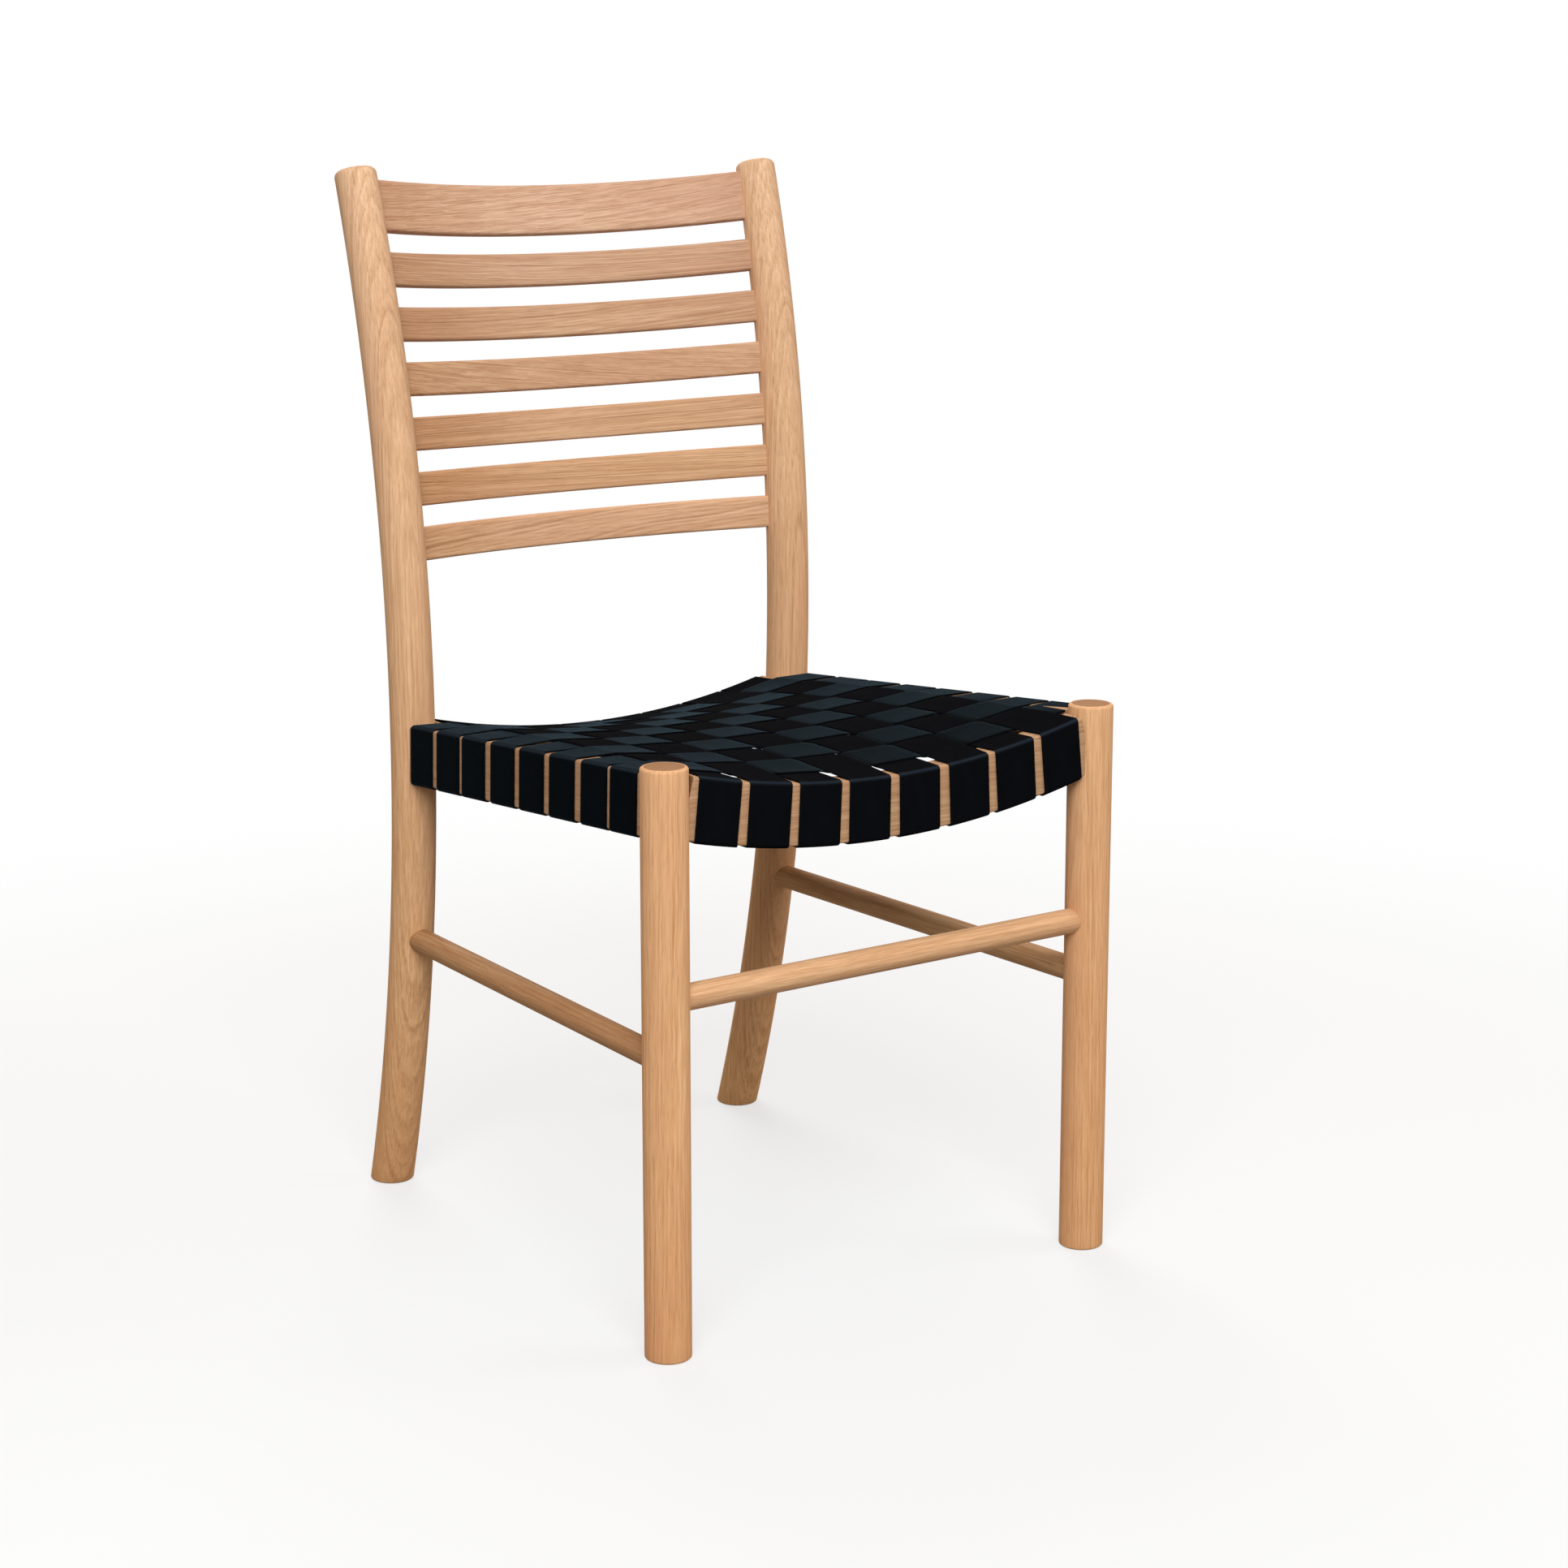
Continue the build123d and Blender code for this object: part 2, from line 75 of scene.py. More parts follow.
# Mesh from point and face arrays; an attribute holds a number or a vector per point, for the
# material to read. The sum of the faces' triple products is below zero where they look inwards,
# and then every face is wound the other way.
def makeMesh(name, points, quads, triangles, attributes):
    a, b, c, d = (points[quads[:, k]] for k in range(4))
    volume = (a * np.cross(b, c)).sum() + (a * np.cross(c, d)).sum()
    if volume < 0:
        quads, triangles = quads[:, ::-1], triangles[:, ::-1]
    corners = np.concatenate([quads.ravel(), triangles.ravel()])
    sizes = np.concatenate([np.full(len(quads), 4), np.full(len(triangles), 3)])
    mesh = bpy.data.meshes.new(name)
    mesh.vertices.add(len(points))
    mesh.vertices.foreach_set("co", points.ravel())
    mesh.loops.add(len(corners))
    mesh.loops.foreach_set("vertex_index", corners)
    mesh.polygons.add(len(sizes))
    mesh.polygons.foreach_set("loop_start", np.concatenate([[0], np.cumsum(sizes)[:-1]]))
    mesh.update(calc_edges=True)
    for key, values in attributes.items():
        kind, field = ("FLOAT", "value") if values.shape[1] == 1 else ("FLOAT_VECTOR", "vector")
        mesh.attributes.new(key, kind, "POINT").data.foreach_set(field, values.ravel())
    mesh.shade_smooth()
    mesh.set_sharp_from_angle(angle=crispAngle)
    return mesh


# Closed tubes: rings[m, k, j] is point j of ring k of tube m; rings join along the tube, and
# each end closes on the mean point of its ring. Attributes are laid out as the rings are.
def tubeMesh(name, rings, attributes):
    rings = rings.reshape(-1, *rings.shape[-3:])
    tubes, stations, around = rings.shape[:3]

    def withEnds(values):
        values = values.reshape(tubes, stations, around, -1)
        ends = np.stack([values[:, 0].mean(axis=1), values[:, -1].mean(axis=1)], axis=1)
        sides = values.reshape(tubes, stations * around, -1)
        return np.concatenate([sides, ends], axis=1).reshape(-1, values.shape[-1])

    index = np.arange(stations * around).reshape(stations, around)
    after = np.roll(index, -1, axis=1)
    quads = np.stack([index[:-1], after[:-1], after[1:], index[1:]], axis=-1).reshape(-1, 4)
    first = np.stack([after[0], index[0], np.full(around, stations * around)], axis=-1)
    last = np.stack([index[-1], after[-1], np.full(around, stations * around + 1)], axis=-1)
    shift = (np.arange(tubes) * (stations * around + 2))[:, None, None]
    quads = (quads + shift).reshape(-1, 4)
    caps = (np.concatenate([first, last]) + shift).reshape(-1, 3)
    attributes = {key: withEnds(values) for key, values in attributes.items()}
    return makeMesh(name, withEnds(rings), quads, caps, attributes)


def addPiece(name, mesh, material, slot, *nodes):
    piece = bpy.data.objects.new(name, mesh)
    bpy.context.scene.collection.objects.link(piece)
    mesh.materials.append(material)
    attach(piece, "root")
    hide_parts(*nodes)
    return piece


# Node helper: makes a node, sets its properties and plugs or fills its inputs, which are given
# by their names or, as n0, n1 and so on, by their numbers.
def addNode(tree, kind, settings=None, **inputs):
    node = tree.nodes.new(kind)
    for key, value in (settings or {}).items():
        setattr(node, key, value)
    for key, value in inputs.items():
        numbered = key[0] == "n" and key[1:].isdigit()
        socket = node.inputs[int(key[1:]) if numbered else key]
        if isinstance(value, bpy.types.NodeSocket):
            tree.links.new(value, socket)
        else:
            socket.default_value = value
    return node


def attributeNode(tree, name, output):
    return addNode(tree, "ShaderNodeAttribute", {"attribute_name": name}).outputs[output]


def mathNode(tree, operation, a, b=0.0, c=0.0):
    return addNode(tree, "ShaderNodeMath", {"operation": operation}, n0=a, n1=b, n2=c).outputs[0]


def vectorNode(tree, operation, a, b=(0.0, 0.0, 0.0)):
    made = addNode(tree, "ShaderNodeVectorMath", {"operation": operation}, n0=a, n1=b)
    return made.outputs["Value" if operation == "LENGTH" else "Vector"]


# Noise over a place stretched by scale, one number for each axis.
def noiseNode(tree, place, scale, detail=2.0):
    stretched = vectorNode(tree, "MULTIPLY", place, scale)
    return addNode(tree, "ShaderNodeTexNoise", Vector=stretched, Scale=1.0, Detail=detail)


# Grey ramp through stops of place and level.
def rampNode(tree, factor, *stops):
    ramp = addNode(tree, "ShaderNodeValToRGB", Fac=factor)
    elements = ramp.color_ramp.elements
    while len(elements) < len(stops):
        elements.new(0.5)
    for element, (place, level) in zip(elements, stops):
        element.position = place
        element.color = (level, level, level, 1.0)
    return ramp.outputs["Color"]


def mixColour(tree, factor, a, b, blend="MIX"):
    settings = {"data_type": "RGBA", "blend_type": blend}
    return addNode(tree, "ShaderNodeMix", settings, n0=factor, n6=a, n7=b).outputs[2]


# Linear colour of a screen colour given as numbers up to 255.
def colour(red, green, blue):
    srgb = np.array([red, green, blue]) / 255
    linear = np.where(srgb <= 0.04045, srgb / 12.92, ((srgb + 0.055) / 1.055) ** 2.4)
    return (*linear.tolist(), 1.0)


def newMaterial(name):
    material = bpy.data.materials.new(name)
    material.use_nodes = True
    tree = material.node_tree
    tree.nodes.clear()
    shader = addNode(tree, "ShaderNodeBsdfPrincipled")
    output = addNode(tree, "ShaderNodeOutputMaterial", Surface=shader.outputs[0])
    output.is_active_output = True
    return material, tree, shader


# Oak: growth rings are shells round a pith line at the board's origin, along its third axis,
# unevenly spaced and of uneven strength; pores are noise drawn out along that axis and
# thickest where a ring begins. Cut ends are darker. Noises count across and along the grain.
oakFinish = {
    "ringDrift": {"across": 8.0, "along": 1.5, "size": 0.011},
    "ringRipple": {"across": 70.0, "along": 9.0, "size": 0.0015},
    "grainWave": {"across": 75.0, "along": 34.0, "size": 0.0007},
    "ringUneven": 1.7,
    "unevenScale": 110.0,
    "weakestRing": 0.25,
    "ringProfile": ((0.0, 0.12), (0.18, 1.0), (0.5, 0.45), (0.85, 0.06), (1.0, 0.12)),
    "ringBreaks": {"across": 620.0, "along": 20.0, "stops": ((0.32, 0.55), (0.60, 1.0))},
    "finePores": {"across": 1500.0, "along": 42.0, "stops": ((0.50, 0.0), (0.66, 1.0))},
    "longPores": {"across": 980.0, "along": 11.0, "stops": ((0.52, 0.0), (0.68, 1.0))},
    "poreBase": 0.40,
    "poreByRing": 0.55,
    "fibre": {"across": 560.0, "detail": 3.0, "stops": ((0.38, 0.0), (0.62, 1.0))},
    "cloud": {"across": 16.0, "along": 2.4, "stops": ((0.40, 0.0), (0.66, 1.0))},
    "cloudShare": 0.7,
    "roughness": 0.58,
    "poreRoughness": 0.16,
    "specular": 0.03,
    "poreDepth": 0.0003,
    "poreRelief": 0.25,
    "endTone": (0.48, 0.44, 0.41, 1.0),
    "rimShare": 0.05,
    "pith": 0.09,
}
oakTones = {
    "leg": {
        "light": colour(239, 192, 143),
        "middle": colour(222, 170, 122),
        "pink": colour(222, 165, 120),
        "dark": colour(184, 124, 74),
        "pore": colour(150, 95, 52),
        "fibreAlong": 17.0,
        "ringSpacing": 0.0032,
        "ringShare": 0.26,
        "poreShare": 0.52,
    },
    "post": {
        "light": colour(239, 196, 154),
        "middle": colour(221, 174, 130),
        "pink": colour(220, 170, 130),
        "dark": colour(174, 123, 81),
        "pore": colour(146, 97, 60),
        "fibreAlong": 10.0,
        "ringSpacing": 0.0036,
        "ringShare": 0.46,
        "poreShare": 0.50,
    },
    "slat": {
        "light": colour(234, 193, 159),
        "middle": colour(212, 167, 132),
        "pink": colour(212, 163, 132),
        "dark": colour(151, 101, 66),
        "pore": colour(130, 85, 53),
        "fibreAlong": 5.0,
        "ringSpacing": 0.0017,
        "ringShare": 0.50,
        "poreShare": 0.46,
    },
}


def oakMaterial(kind):
    s, tone = oakFinish, oakTones[kind]
    material, tree, shader = newMaterial(f"oak_{kind}")
    board = attributeNode(tree, "board", "Vector")
    endGrain = attributeNode(tree, "endGrain", "Fac")
    # Each piece's tone: the wood's own tone, with painted shade graded or laid over some pieces.
    toneAndShade = attributeNode(tree, "toneAndShade", "Color")

    def grain(place, noise):
        scale = (noise["across"], noise["across"], noise["along"])
        return noiseNode(tree, place, scale, noise.get("detail", 2.0))

    def moved(place, noise):
        centred = vectorNode(tree, "SUBTRACT", grain(board, noise).outputs["Color"], (0.5, 0.5, 0.5))
        reach = (2 * noise["size"], 2 * noise["size"], 0.0)
        return vectorNode(tree, "ADD", place, vectorNode(tree, "MULTIPLY", centred, reach))

    def stepped(place, noise):
        return rampNode(tree, grain(place, noise).outputs[0], *noise["stops"])

    def product(a, b):
        return mathNode(tree, "MULTIPLY", a, b)

    shells = moved(moved(board, s["ringDrift"]), s["ringRipple"])
    radius = vectorNode(tree, "LENGTH", vectorNode(tree, "MULTIPLY", shells, (1.0, 1.0, 0.0)))
    line = {"noise_dimensions": "1D"}
    uneven = addNode(tree, "ShaderNodeTexNoise", line, W=radius, Scale=s["unevenScale"], Detail=1.0)
    steps = mathNode(tree, "DIVIDE", radius, tone["ringSpacing"])
    rings = mathNode(tree, "MULTIPLY_ADD", uneven.outputs[0], s["ringUneven"], steps)
    profile = rampNode(tree, mathNode(tree, "FRACT", rings), *s["ringProfile"])
    chance = addNode(tree, "ShaderNodeTexWhiteNoise", line, W=mathNode(tree, "FLOOR", rings))
    weakest = s["weakestRing"]
    strength = mathNode(tree, "MULTIPLY_ADD", chance.outputs["Value"], 1 - weakest, weakest)
    early = product(product(profile, strength), stepped(board, s["ringBreaks"]))

    wavy = moved(board, s["grainWave"])
    finePores, longPores = stepped(wavy, s["finePores"]), stepped(wavy, s["longPores"])
    poreShare = mathNode(tree, "MULTIPLY_ADD", early, s["poreByRing"], s["poreBase"])
    pores = product(mathNode(tree, "MAXIMUM", finePores, longPores), poreShare)
    fibre = stepped(wavy, {**s["fibre"], "along": tone["fibreAlong"]})
    cloud = stepped(board, s["cloud"])

    tint = mixColour(tree, fibre, tone["middle"], tone["light"])
    tint = mixColour(tree, product(cloud, s["cloudShare"]), tint, tone["pink"])
    tint = mixColour(tree, product(early, tone["ringShare"]), tint, tone["dark"])
    tint = mixColour(tree, product(pores, tone["poreShare"]), tint, tone["pore"])
    tint = mixColour(tree, endGrain, tint, s["endTone"], "MULTIPLY")
    tint = mixColour(tree, 1.0, tint, toneAndShade, "MULTIPLY")
    roughness = mathNode(tree, "MULTIPLY_ADD", pores, s["poreRoughness"], s["roughness"])
    tree.links.new(tint, shader.inputs["Base Color"])
    tree.links.new(roughness, shader.inputs["Roughness"])
    shader.inputs["Specular IOR Level"].default_value = s["specular"]
    relief = {"Strength": s["poreRelief"], "Distance": s["poreDepth"], "Height": pores}
    bump = addNode(tree, "ShaderNodeBump", {"invert": True}, **relief)
    tree.links.new(bump.outputs[0], shader.inputs["Normal"])
    return material


oak = {kind: oakMaterial(kind) for kind in oakTones}
boards = np.random.default_rng(7)
boardSpread = {"sideways": 0.02, "along": 40.0}  # how far apart the pieces' boards may lie


# Place of every point across and along the straight grain of a piece.
def straightGrain(points, grain):
    grain = unit(np.array(grain, float))
    helper = np.array([0.0, 1.0, 0.0]) if abs(grain[1]) < 0.9 else np.array([1.0, 0.0, 0.0])
    first = unit(np.cross(helper, grain))
    second = np.cross(grain, first)
    centre = points.reshape(-1, 3).mean(0)
    return (points - centre) @ np.stack([first, second, grain], axis=1)


# Place in the board that a piece is sawn from: local is turned round the grain, drifts across
# it by tilt, and lies pith away from the heart in a board of its own.
def boardCoords(local, turn, tilt, pith):
    first, second, along = np.moveaxis(local, -1, 0)
    outward = first * math.cos(turn) + second * math.sin(turn) + tilt * along
    sideways = second * math.cos(turn) - first * math.sin(turn)
    aside = boards.uniform(-boardSpread["sideways"], boardSpread["sideways"])
    further = boards.uniform(0.0, boardSpread["along"])
    return np.stack([outward, sideways, along], axis=-1) + np.array([pith, aside, further])


# Piece with an inner ring laid in each end, where the end grain starts inside a paler rim.
def oakPiece(node, kind, rings, local, turn, tilt=0.0, pith=oakFinish["pith"], tone=(1.0, 1.0, 1.0)):
    def withInner(values):
        inner = mix(values, values.mean(axis=1, keepdims=True), oakFinish["rimShare"])
        return np.concatenate([inner[:1], values, inner[-1:]])

    tones = withInner(np.broadcast_to(tone, rings.shape))
    rings = withInner(rings)
    endGrain = np.zeros(rings.shape[:2])
    endGrain[[0, -1]] = 1.0
    place = boardCoords(withInner(local), turn, tilt, pith)
    attributes = {"board": place, "endGrain": endGrain, "toneAndShade": tones}
    addPiece(node + "_oak", tubeMesh(node + "_oak", rings, attributes), oak[kind], "oak", node)


# Inset of a rounded edge: how far the outline has drawn in at each distance from an end.
def edgeInset(distance, radius):
    depth = np.clip(radius - distance, 0.0, radius)
    return radius - np.sqrt(radius**2 - depth**2)


# Stations along a length, crowded into the rounded stretch at each end.
def endStations(length, startRound, endRound, count, steps=7):
    curve = 1 - np.cos(np.linspace(0, math.pi / 2, steps))
    start = startRound * curve
    end = length - (endRound * curve)[::-1]
    return np.concatenate([start, np.linspace(startRound, length - endRound, count)[1:-1], end])


circle = np.linspace(0, 2 * math.pi, 48, endpoint=False)

# Front legs: upright cylinder whose outline draws in by a quarter circle at foot and top.
legSizes = {
    "topRound": 0.0025,
    "footRound": 0.002,
    "stations": 40,
    "turn": {"left": 0.4, "right": 2.1},
    "tilt": 0.012,
    # Painted shade: the leg's tone runs darker and warmer towards the foot and lighter towards the top.
    "shadedFootTone": (1.0, 0.93, 0.87),
    "litTopTone": (1.03, 1.04, 1.06),
}


def frontLeg(name):
    s = legSizes
    centre, size = middleOf(f"front_leg_{name}")
    height = endStations(size[2], s["footRound"], s["topRound"], s["stations"])
    inset = edgeInset(height, s["footRound"]) + edgeInset(size[2] - height, s["topRound"])
    radius = (size[0] / 2 - inset)[:, None]
    x = centre[0] + radius * np.cos(circle)
    y = centre[1] + radius * np.sin(circle)
    rings = np.stack([x, y, np.broadcast_to(height[:, None], x.shape)], axis=-1)
    # Painted shade graded from the foot up to the top.
    tones = mix(np.array(s["shadedFootTone"]), np.array(s["litTopTone"]), height[:, None, None] / size[2])
    grain = straightGrain(rings, (0, 0, 1))
    oakPiece(f"front_leg_{name}", "leg", rings, grain, s["turn"][name], s["tilt"], tone=tones)


# Rear posts: circle carried along an arc that bends back above and below the seat; its
# plane turns from level on the floor to square with the post further up. The grain follows a
# share of the bend.
postSizes = {
    "topHeight": 0.8805,
    "footDiameter": 0.0373,
    "seatDiameter": 0.0377,
    "topDiameter": 0.0349,
    "footSpacing": 0.3704,
    "topSpacing": 0.4026,
    "arcRadius": 1.485,
    "waistHeight": 0.455,
    "seatHeight": 0.4225,
    "setBack": 0.4052,
    "topRound": 0.005,
    "footRound": 0.002,
    "levelUpTo": 0.16,
    "stations": 110,
    "turn": {"left": 1.55, "right": 1.7},
    "grainFollows": 0.35,
    # Painted shade: the post's tone runs darker and warmer towards the foot, under the seat, and lighter
    # and cooler towards the top.
    "shadedFootTone": (0.98, 0.88, 0.72),
    "litTopTone": (1.04, 1.09, 1.18),
}


# Depth of the posts' axes: an arc that is furthest forward at the waist.
def postDepth(z):
    s = postSizes
    rise = np.sqrt(s["arcRadius"] ** 2 - (z - s["waistHeight"]) ** 2)
    return legLine + s["setBack"] + s["arcRadius"] - rise


# Half the posts' spacing, which widens evenly with height.
def postHalfSpacing(z):
    s = postSizes
    return mix(s["footSpacing"], s["topSpacing"], z / s["topHeight"]) / 2


# The post swells evenly up to the seat, then tapers with the square of the height above it.
def postRadius(z):
    s = postSizes
    low = mix(s["footDiameter"], s["seatDiameter"], z / s["seatHeight"])
    rise = np.clip((z - s["seatHeight"]) / (s["topHeight"] - s["seatHeight"]), 0, 1)
    high = mix(s["seatDiameter"], s["topDiameter"], rise**2)
    return np.where(z < s["seatHeight"], low, high) / 2


# Angle of the arc from upright.
def postLean(z):
    return np.arcsin((z - postSizes["waistHeight"]) / postSizes["arcRadius"])


def rearPost(name, side):
    s = postSizes
    z = endStations(s["topHeight"], s["footRound"], s["topRound"], s["stations"])
    lean = postLean(z)
    square = smoothStep(z / s["levelUpTo"])
    inset = edgeInset(z, s["footRound"]) + edgeInset((s["topHeight"] - z) / np.cos(lean), s["topRound"])
    radius = postRadius(z) - inset
    slope = side * (s["topSpacing"] - s["footSpacing"]) / 2 / s["topHeight"]
    depthWise = radius / np.cos(lean * (1 - square))
    centre = np.stack([side * postHalfSpacing(z), postDepth(z), z], axis=-1)
    zero = np.zeros_like(z)
    across = np.stack([radius, zero, -slope * square * radius], axis=-1)
    back = np.stack([zero, depthWise * np.cos(square * lean), -depthWise * np.sin(square * lean)], axis=-1)
    rings = (centre[:, None] + across[:, None] * np.cos(circle)[:, None]
             + back[:, None] * np.sin(circle)[:, None])
    local = straightGrain(rings, (0, 0, 1))
    local[..., 1] -= s["grainFollows"] * (postDepth(z) - s["setBack"])[:, None]
    # Painted shade graded from the foot up to the top.
    tones = mix(np.array(s["shadedFootTone"]), np.array(s["litTopTone"]), z[:, None, None] / s["topHeight"])
    oakPiece(f"rear_post_{name}", "post", rings, local, s["turn"][name], tone=tones)


# Outline of a bar: quarter circles round the four corners' centres, counted round from the
# right side, with each flat face between them divided evenly.
def roundedOutline(width, height, radius, cornerSteps=7, faceSteps=6):
    angle = np.arange(4)[:, None] * math.pi / 2 + np.linspace(0, math.pi / 2, cornerSteps)
    signs = np.array([[1, 1], [-1, 1], [-1, -1], [1, -1]])
    centres = signs * np.array([width / 2 - radius, height / 2 - radius])
    corners = centres[:, None] + radius * np.stack([np.cos(angle), np.sin(angle)], axis=-1)
    share = np.linspace(0, 1, faceSteps, endpoint=False)[1:, None]
    faces = mix(corners[:, -1:], np.roll(corners, -1, axis=0)[:, :1], share)
    return np.concatenate([corners, faces], axis=1).reshape(-1, 2)


# Bar: an outline carried along a path, standing on two given directions at each station.
def barRings(path, sideways, upwards, outline):
    sideways, upwards = (np.broadcast_to(way, path.shape)[:, None] for way in (sideways, upwards))
    return path[:, None] + sideways * outline[None, :, :1] + upwards * outline[None, :, 1:]


# Back slats: rounded bar carried along an arc that runs through both post axes and bows back.
# Each is sawn its own way: the turn of its rings and the drift of its grain. The slats' tones run lighter
# from the first below the crest to the last, and each is painted browner towards one end, as painted shade
# from the post.
slatSizes = {
    "crestDrop": 0.0077,
    "crestHeight": 0.0432,
    "slatHeight": 0.028,
    "gap": 0.0182,
    "crestSawn": (1.0, -0.08, (0.97, 0.98, 1.03)),
    "sawn": (
        (1.2, 0.01, (0.87, 0.86, 0.86)),
        (0.8, -0.03, (0.90, 0.89, 0.86)),
        (1.1, 0.10, (0.94, 0.92, 0.88)),
        (0.9, -0.02, (0.96, 0.93, 0.85)),
        (1.3, 0.03, (0.98, 0.93, 0.82)),
        (0.7, -0.04, (1.07, 1.05, 0.98)),
    ),
    "pith": 0.07,
    "postShadeTone": (0.88, 0.81, 0.73),
    "postShadeShare": 0.45,
    "thickness": 0.012,
    "edgeRound": 0.0025,
    "bow": 0.042,
    "intoPost": 0.014,
    "stations": 72,
}


# Height of the place that lies this far down the post's arc from its top.
def heightDownPost(distance):
    s = postSizes
    top = math.asin((s["topHeight"] - s["waistHeight"]) / s["arcRadius"])
    return s["waistHeight"] + s["arcRadius"] * math.sin(top - distance / s["arcRadius"])


def backSlat(node, fromTop, height, turn, tilt, tone):
    s = slatSizes
    z = heightDownPost(fromTop)
    chord = postHalfSpacing(z)
    radius = (chord**2 + s["bow"] ** 2) / (2 * s["bow"])
    reach = math.asin((chord - float(postRadius(z)) + s["intoPost"]) / radius)
    angle = np.linspace(-reach, reach, s["stations"])
    lean = float(postLean(z))
    back = np.array([0.0, math.cos(lean), -math.sin(lean)])
    up = np.array([0.0, math.sin(lean), math.cos(lean)])
    right = np.array([1.0, 0.0, 0.0])
    outward = right * np.sin(angle)[:, None] + back * np.cos(angle)[:, None]
    start = np.array([0.0, float(postDepth(z)), z]) + back * (s["bow"] - radius)
    outline = roundedOutline(s["thickness"], height, s["edgeRound"])
    rings = barRings(start + radius * outward, outward, up, outline)
    through, tall = (np.broadcast_to(column, rings.shape[:2]) for column in outline.T)
    length = np.broadcast_to(radius * angle[:, None], rings.shape[:2])
    local = np.stack([through, tall, length], axis=-1)
    # Painted shade: the tone is browner at the slat's first end, next to the post, and fades out over a
    # share of its length.
    fade = smoothStep(np.linspace(0, 1 / s["postShadeShare"], len(angle)))[:, None]
    tones = (mix(np.array(s["postShadeTone"]), 1.0, fade) * tone)[:, None]
    oakPiece(node, "slat", rings, local, turn, tilt, s["pith"], tones)


# The crest and the slats below it, evenly spaced down the posts.
def ladderBack():
    s = slatSizes
    backSlat("crest_rail", s["crestDrop"] + s["crestHeight"] / 2, s["crestHeight"], *s["crestSawn"])
    first = s["crestDrop"] + s["crestHeight"] + s["gap"] + s["slatHeight"] / 2
    for k, sawn in enumerate(s["sawn"]):
        fromTop = first + k * (s["slatHeight"] + s["gap"])
        backSlat(f"back_slat_{k + 1}", fromTop, s["slatHeight"], *sawn)


# Seat rails: the front and rear ones lie between two arcs, lowest in the middle; the side
# ones are straight and run down to the rear.
seatSizes = {
    "frontHeight": 0.4549,
    "drop": 0.0324,
    "railHeight": 0.0485,
    "railThickness": 0.022,
    "edgeRound": 0.002,
    "frontDip": 0.0285,
    "frontRise": 0.0024,
    "rearDip": 0.0276,
    "rearRise": 0.005,
    "intoUpright": 0.0052,
    "dippedStations": 60,
    "sideStations": 40,
    "turn": {"front": 0.2, "rear": 1.1, "side": 0.6},
    # Painted shade: the rails' wood, seen only in the narrow gaps between the straps, is painted darker for
    # the shade there.
    "shadedRailTone": (0.74, 0.71, 0.62),
}

legRadius = legSize[0] / 2
legX = abs(legMiddle[0])
rearHeight = seatSizes["frontHeight"] - seatSizes["drop"]
postSeatZ = rearHeight - seatSizes["railHeight"] / 2
postSeatX = float(postHalfSpacing(postSeatZ))
postSeatDepth = float(postDepth(postSeatZ)) - legLine
postSeatRadius = float(postRadius(postSeatZ))
railEnds = {
    "front": {
        "depth": 0.0,
        "mid": seatSizes["frontHeight"] + seatSizes["frontRise"] - seatSizes["frontDip"],
        "halfSpan": legX,
        "dip": seatSizes["frontDip"],
        "uprightRadius": legRadius,
    },
    "rear": {
        "depth": postSeatDepth,
        "mid": rearHeight + seatSizes["rearRise"] - seatSizes["rearDip"],
        "halfSpan": postSeatX,
        "dip": seatSizes["rearDip"],
        "uprightRadius": postSeatRadius,
    },
}


# Radius of the arc that dips by its sagitta over half its span on each side.
def dipRadius(rail):
    return (rail["halfSpan"] ** 2 + rail["dip"] ** 2) / (2 * rail["dip"])


# Height of a dipped rail's top at x: the arc through its lowest point.
def dippedTop(rail, x):
    radius = dipRadius(rail)
    return rail["mid"] + radius - np.sqrt(radius**2 - x**2)


def dippedRail(name):
    s, rail = seatSizes, railEnds[name]
    radius = dipRadius(rail)
    half = s["railHeight"] / 2
    reach = math.asin((rail["halfSpan"] - rail["uprightRadius"] + s["intoUpright"]) / (radius + half))
    angle = np.linspace(-reach, reach, s["dippedStations"])
    down = np.stack([np.sin(angle), np.zeros_like(angle), -np.cos(angle)], axis=-1)
    path = np.array([0.0, legLine + rail["depth"], rail["mid"] + radius]) + (radius + half) * down
    outline = roundedOutline(s["railThickness"], s["railHeight"], s["edgeRound"])
    rings = barRings(path, np.array([0.0, 1.0, 0.0]), -down, outline)
    grain = straightGrain(rings, (1, 0, 0))
    oakPiece(f"{name}_seat_rail", "slat", rings, grain, s["turn"][name], tone=s["shadedRailTone"])


# Bar between two points, from one distance along the line to another.
def straightBar(start, end, distance, outline):
    along = unit(end - start)
    level = unit(np.cross([0.0, 0.0, 1.0], along))
    return barRings(start + distance[:, None] * along, level, np.cross(along, level), outline), along


def sideRail(name, side):
    s = seatSizes
    drop = np.array([0.0, 0.0, s["railHeight"] / 2])
    start = np.array([side * legX, legLine, s["frontHeight"]]) - drop
    end = np.array([side * postSeatX, legLine + postSeatDepth, rearHeight]) - drop
    inset = legRadius - s["intoUpright"]
    distance = np.linspace(inset, np.linalg.norm(end - start) - inset, s["sideStations"])
    outline = roundedOutline(s["railThickness"], s["railHeight"], s["edgeRound"])
    rings, along = straightBar(start, end, distance, outline)
    grain = straightGrain(rings, along)
    oakPiece(f"side_seat_rail_{name}", "slat", rings, grain, s["turn"]["side"], tone=s["shadedRailTone"])


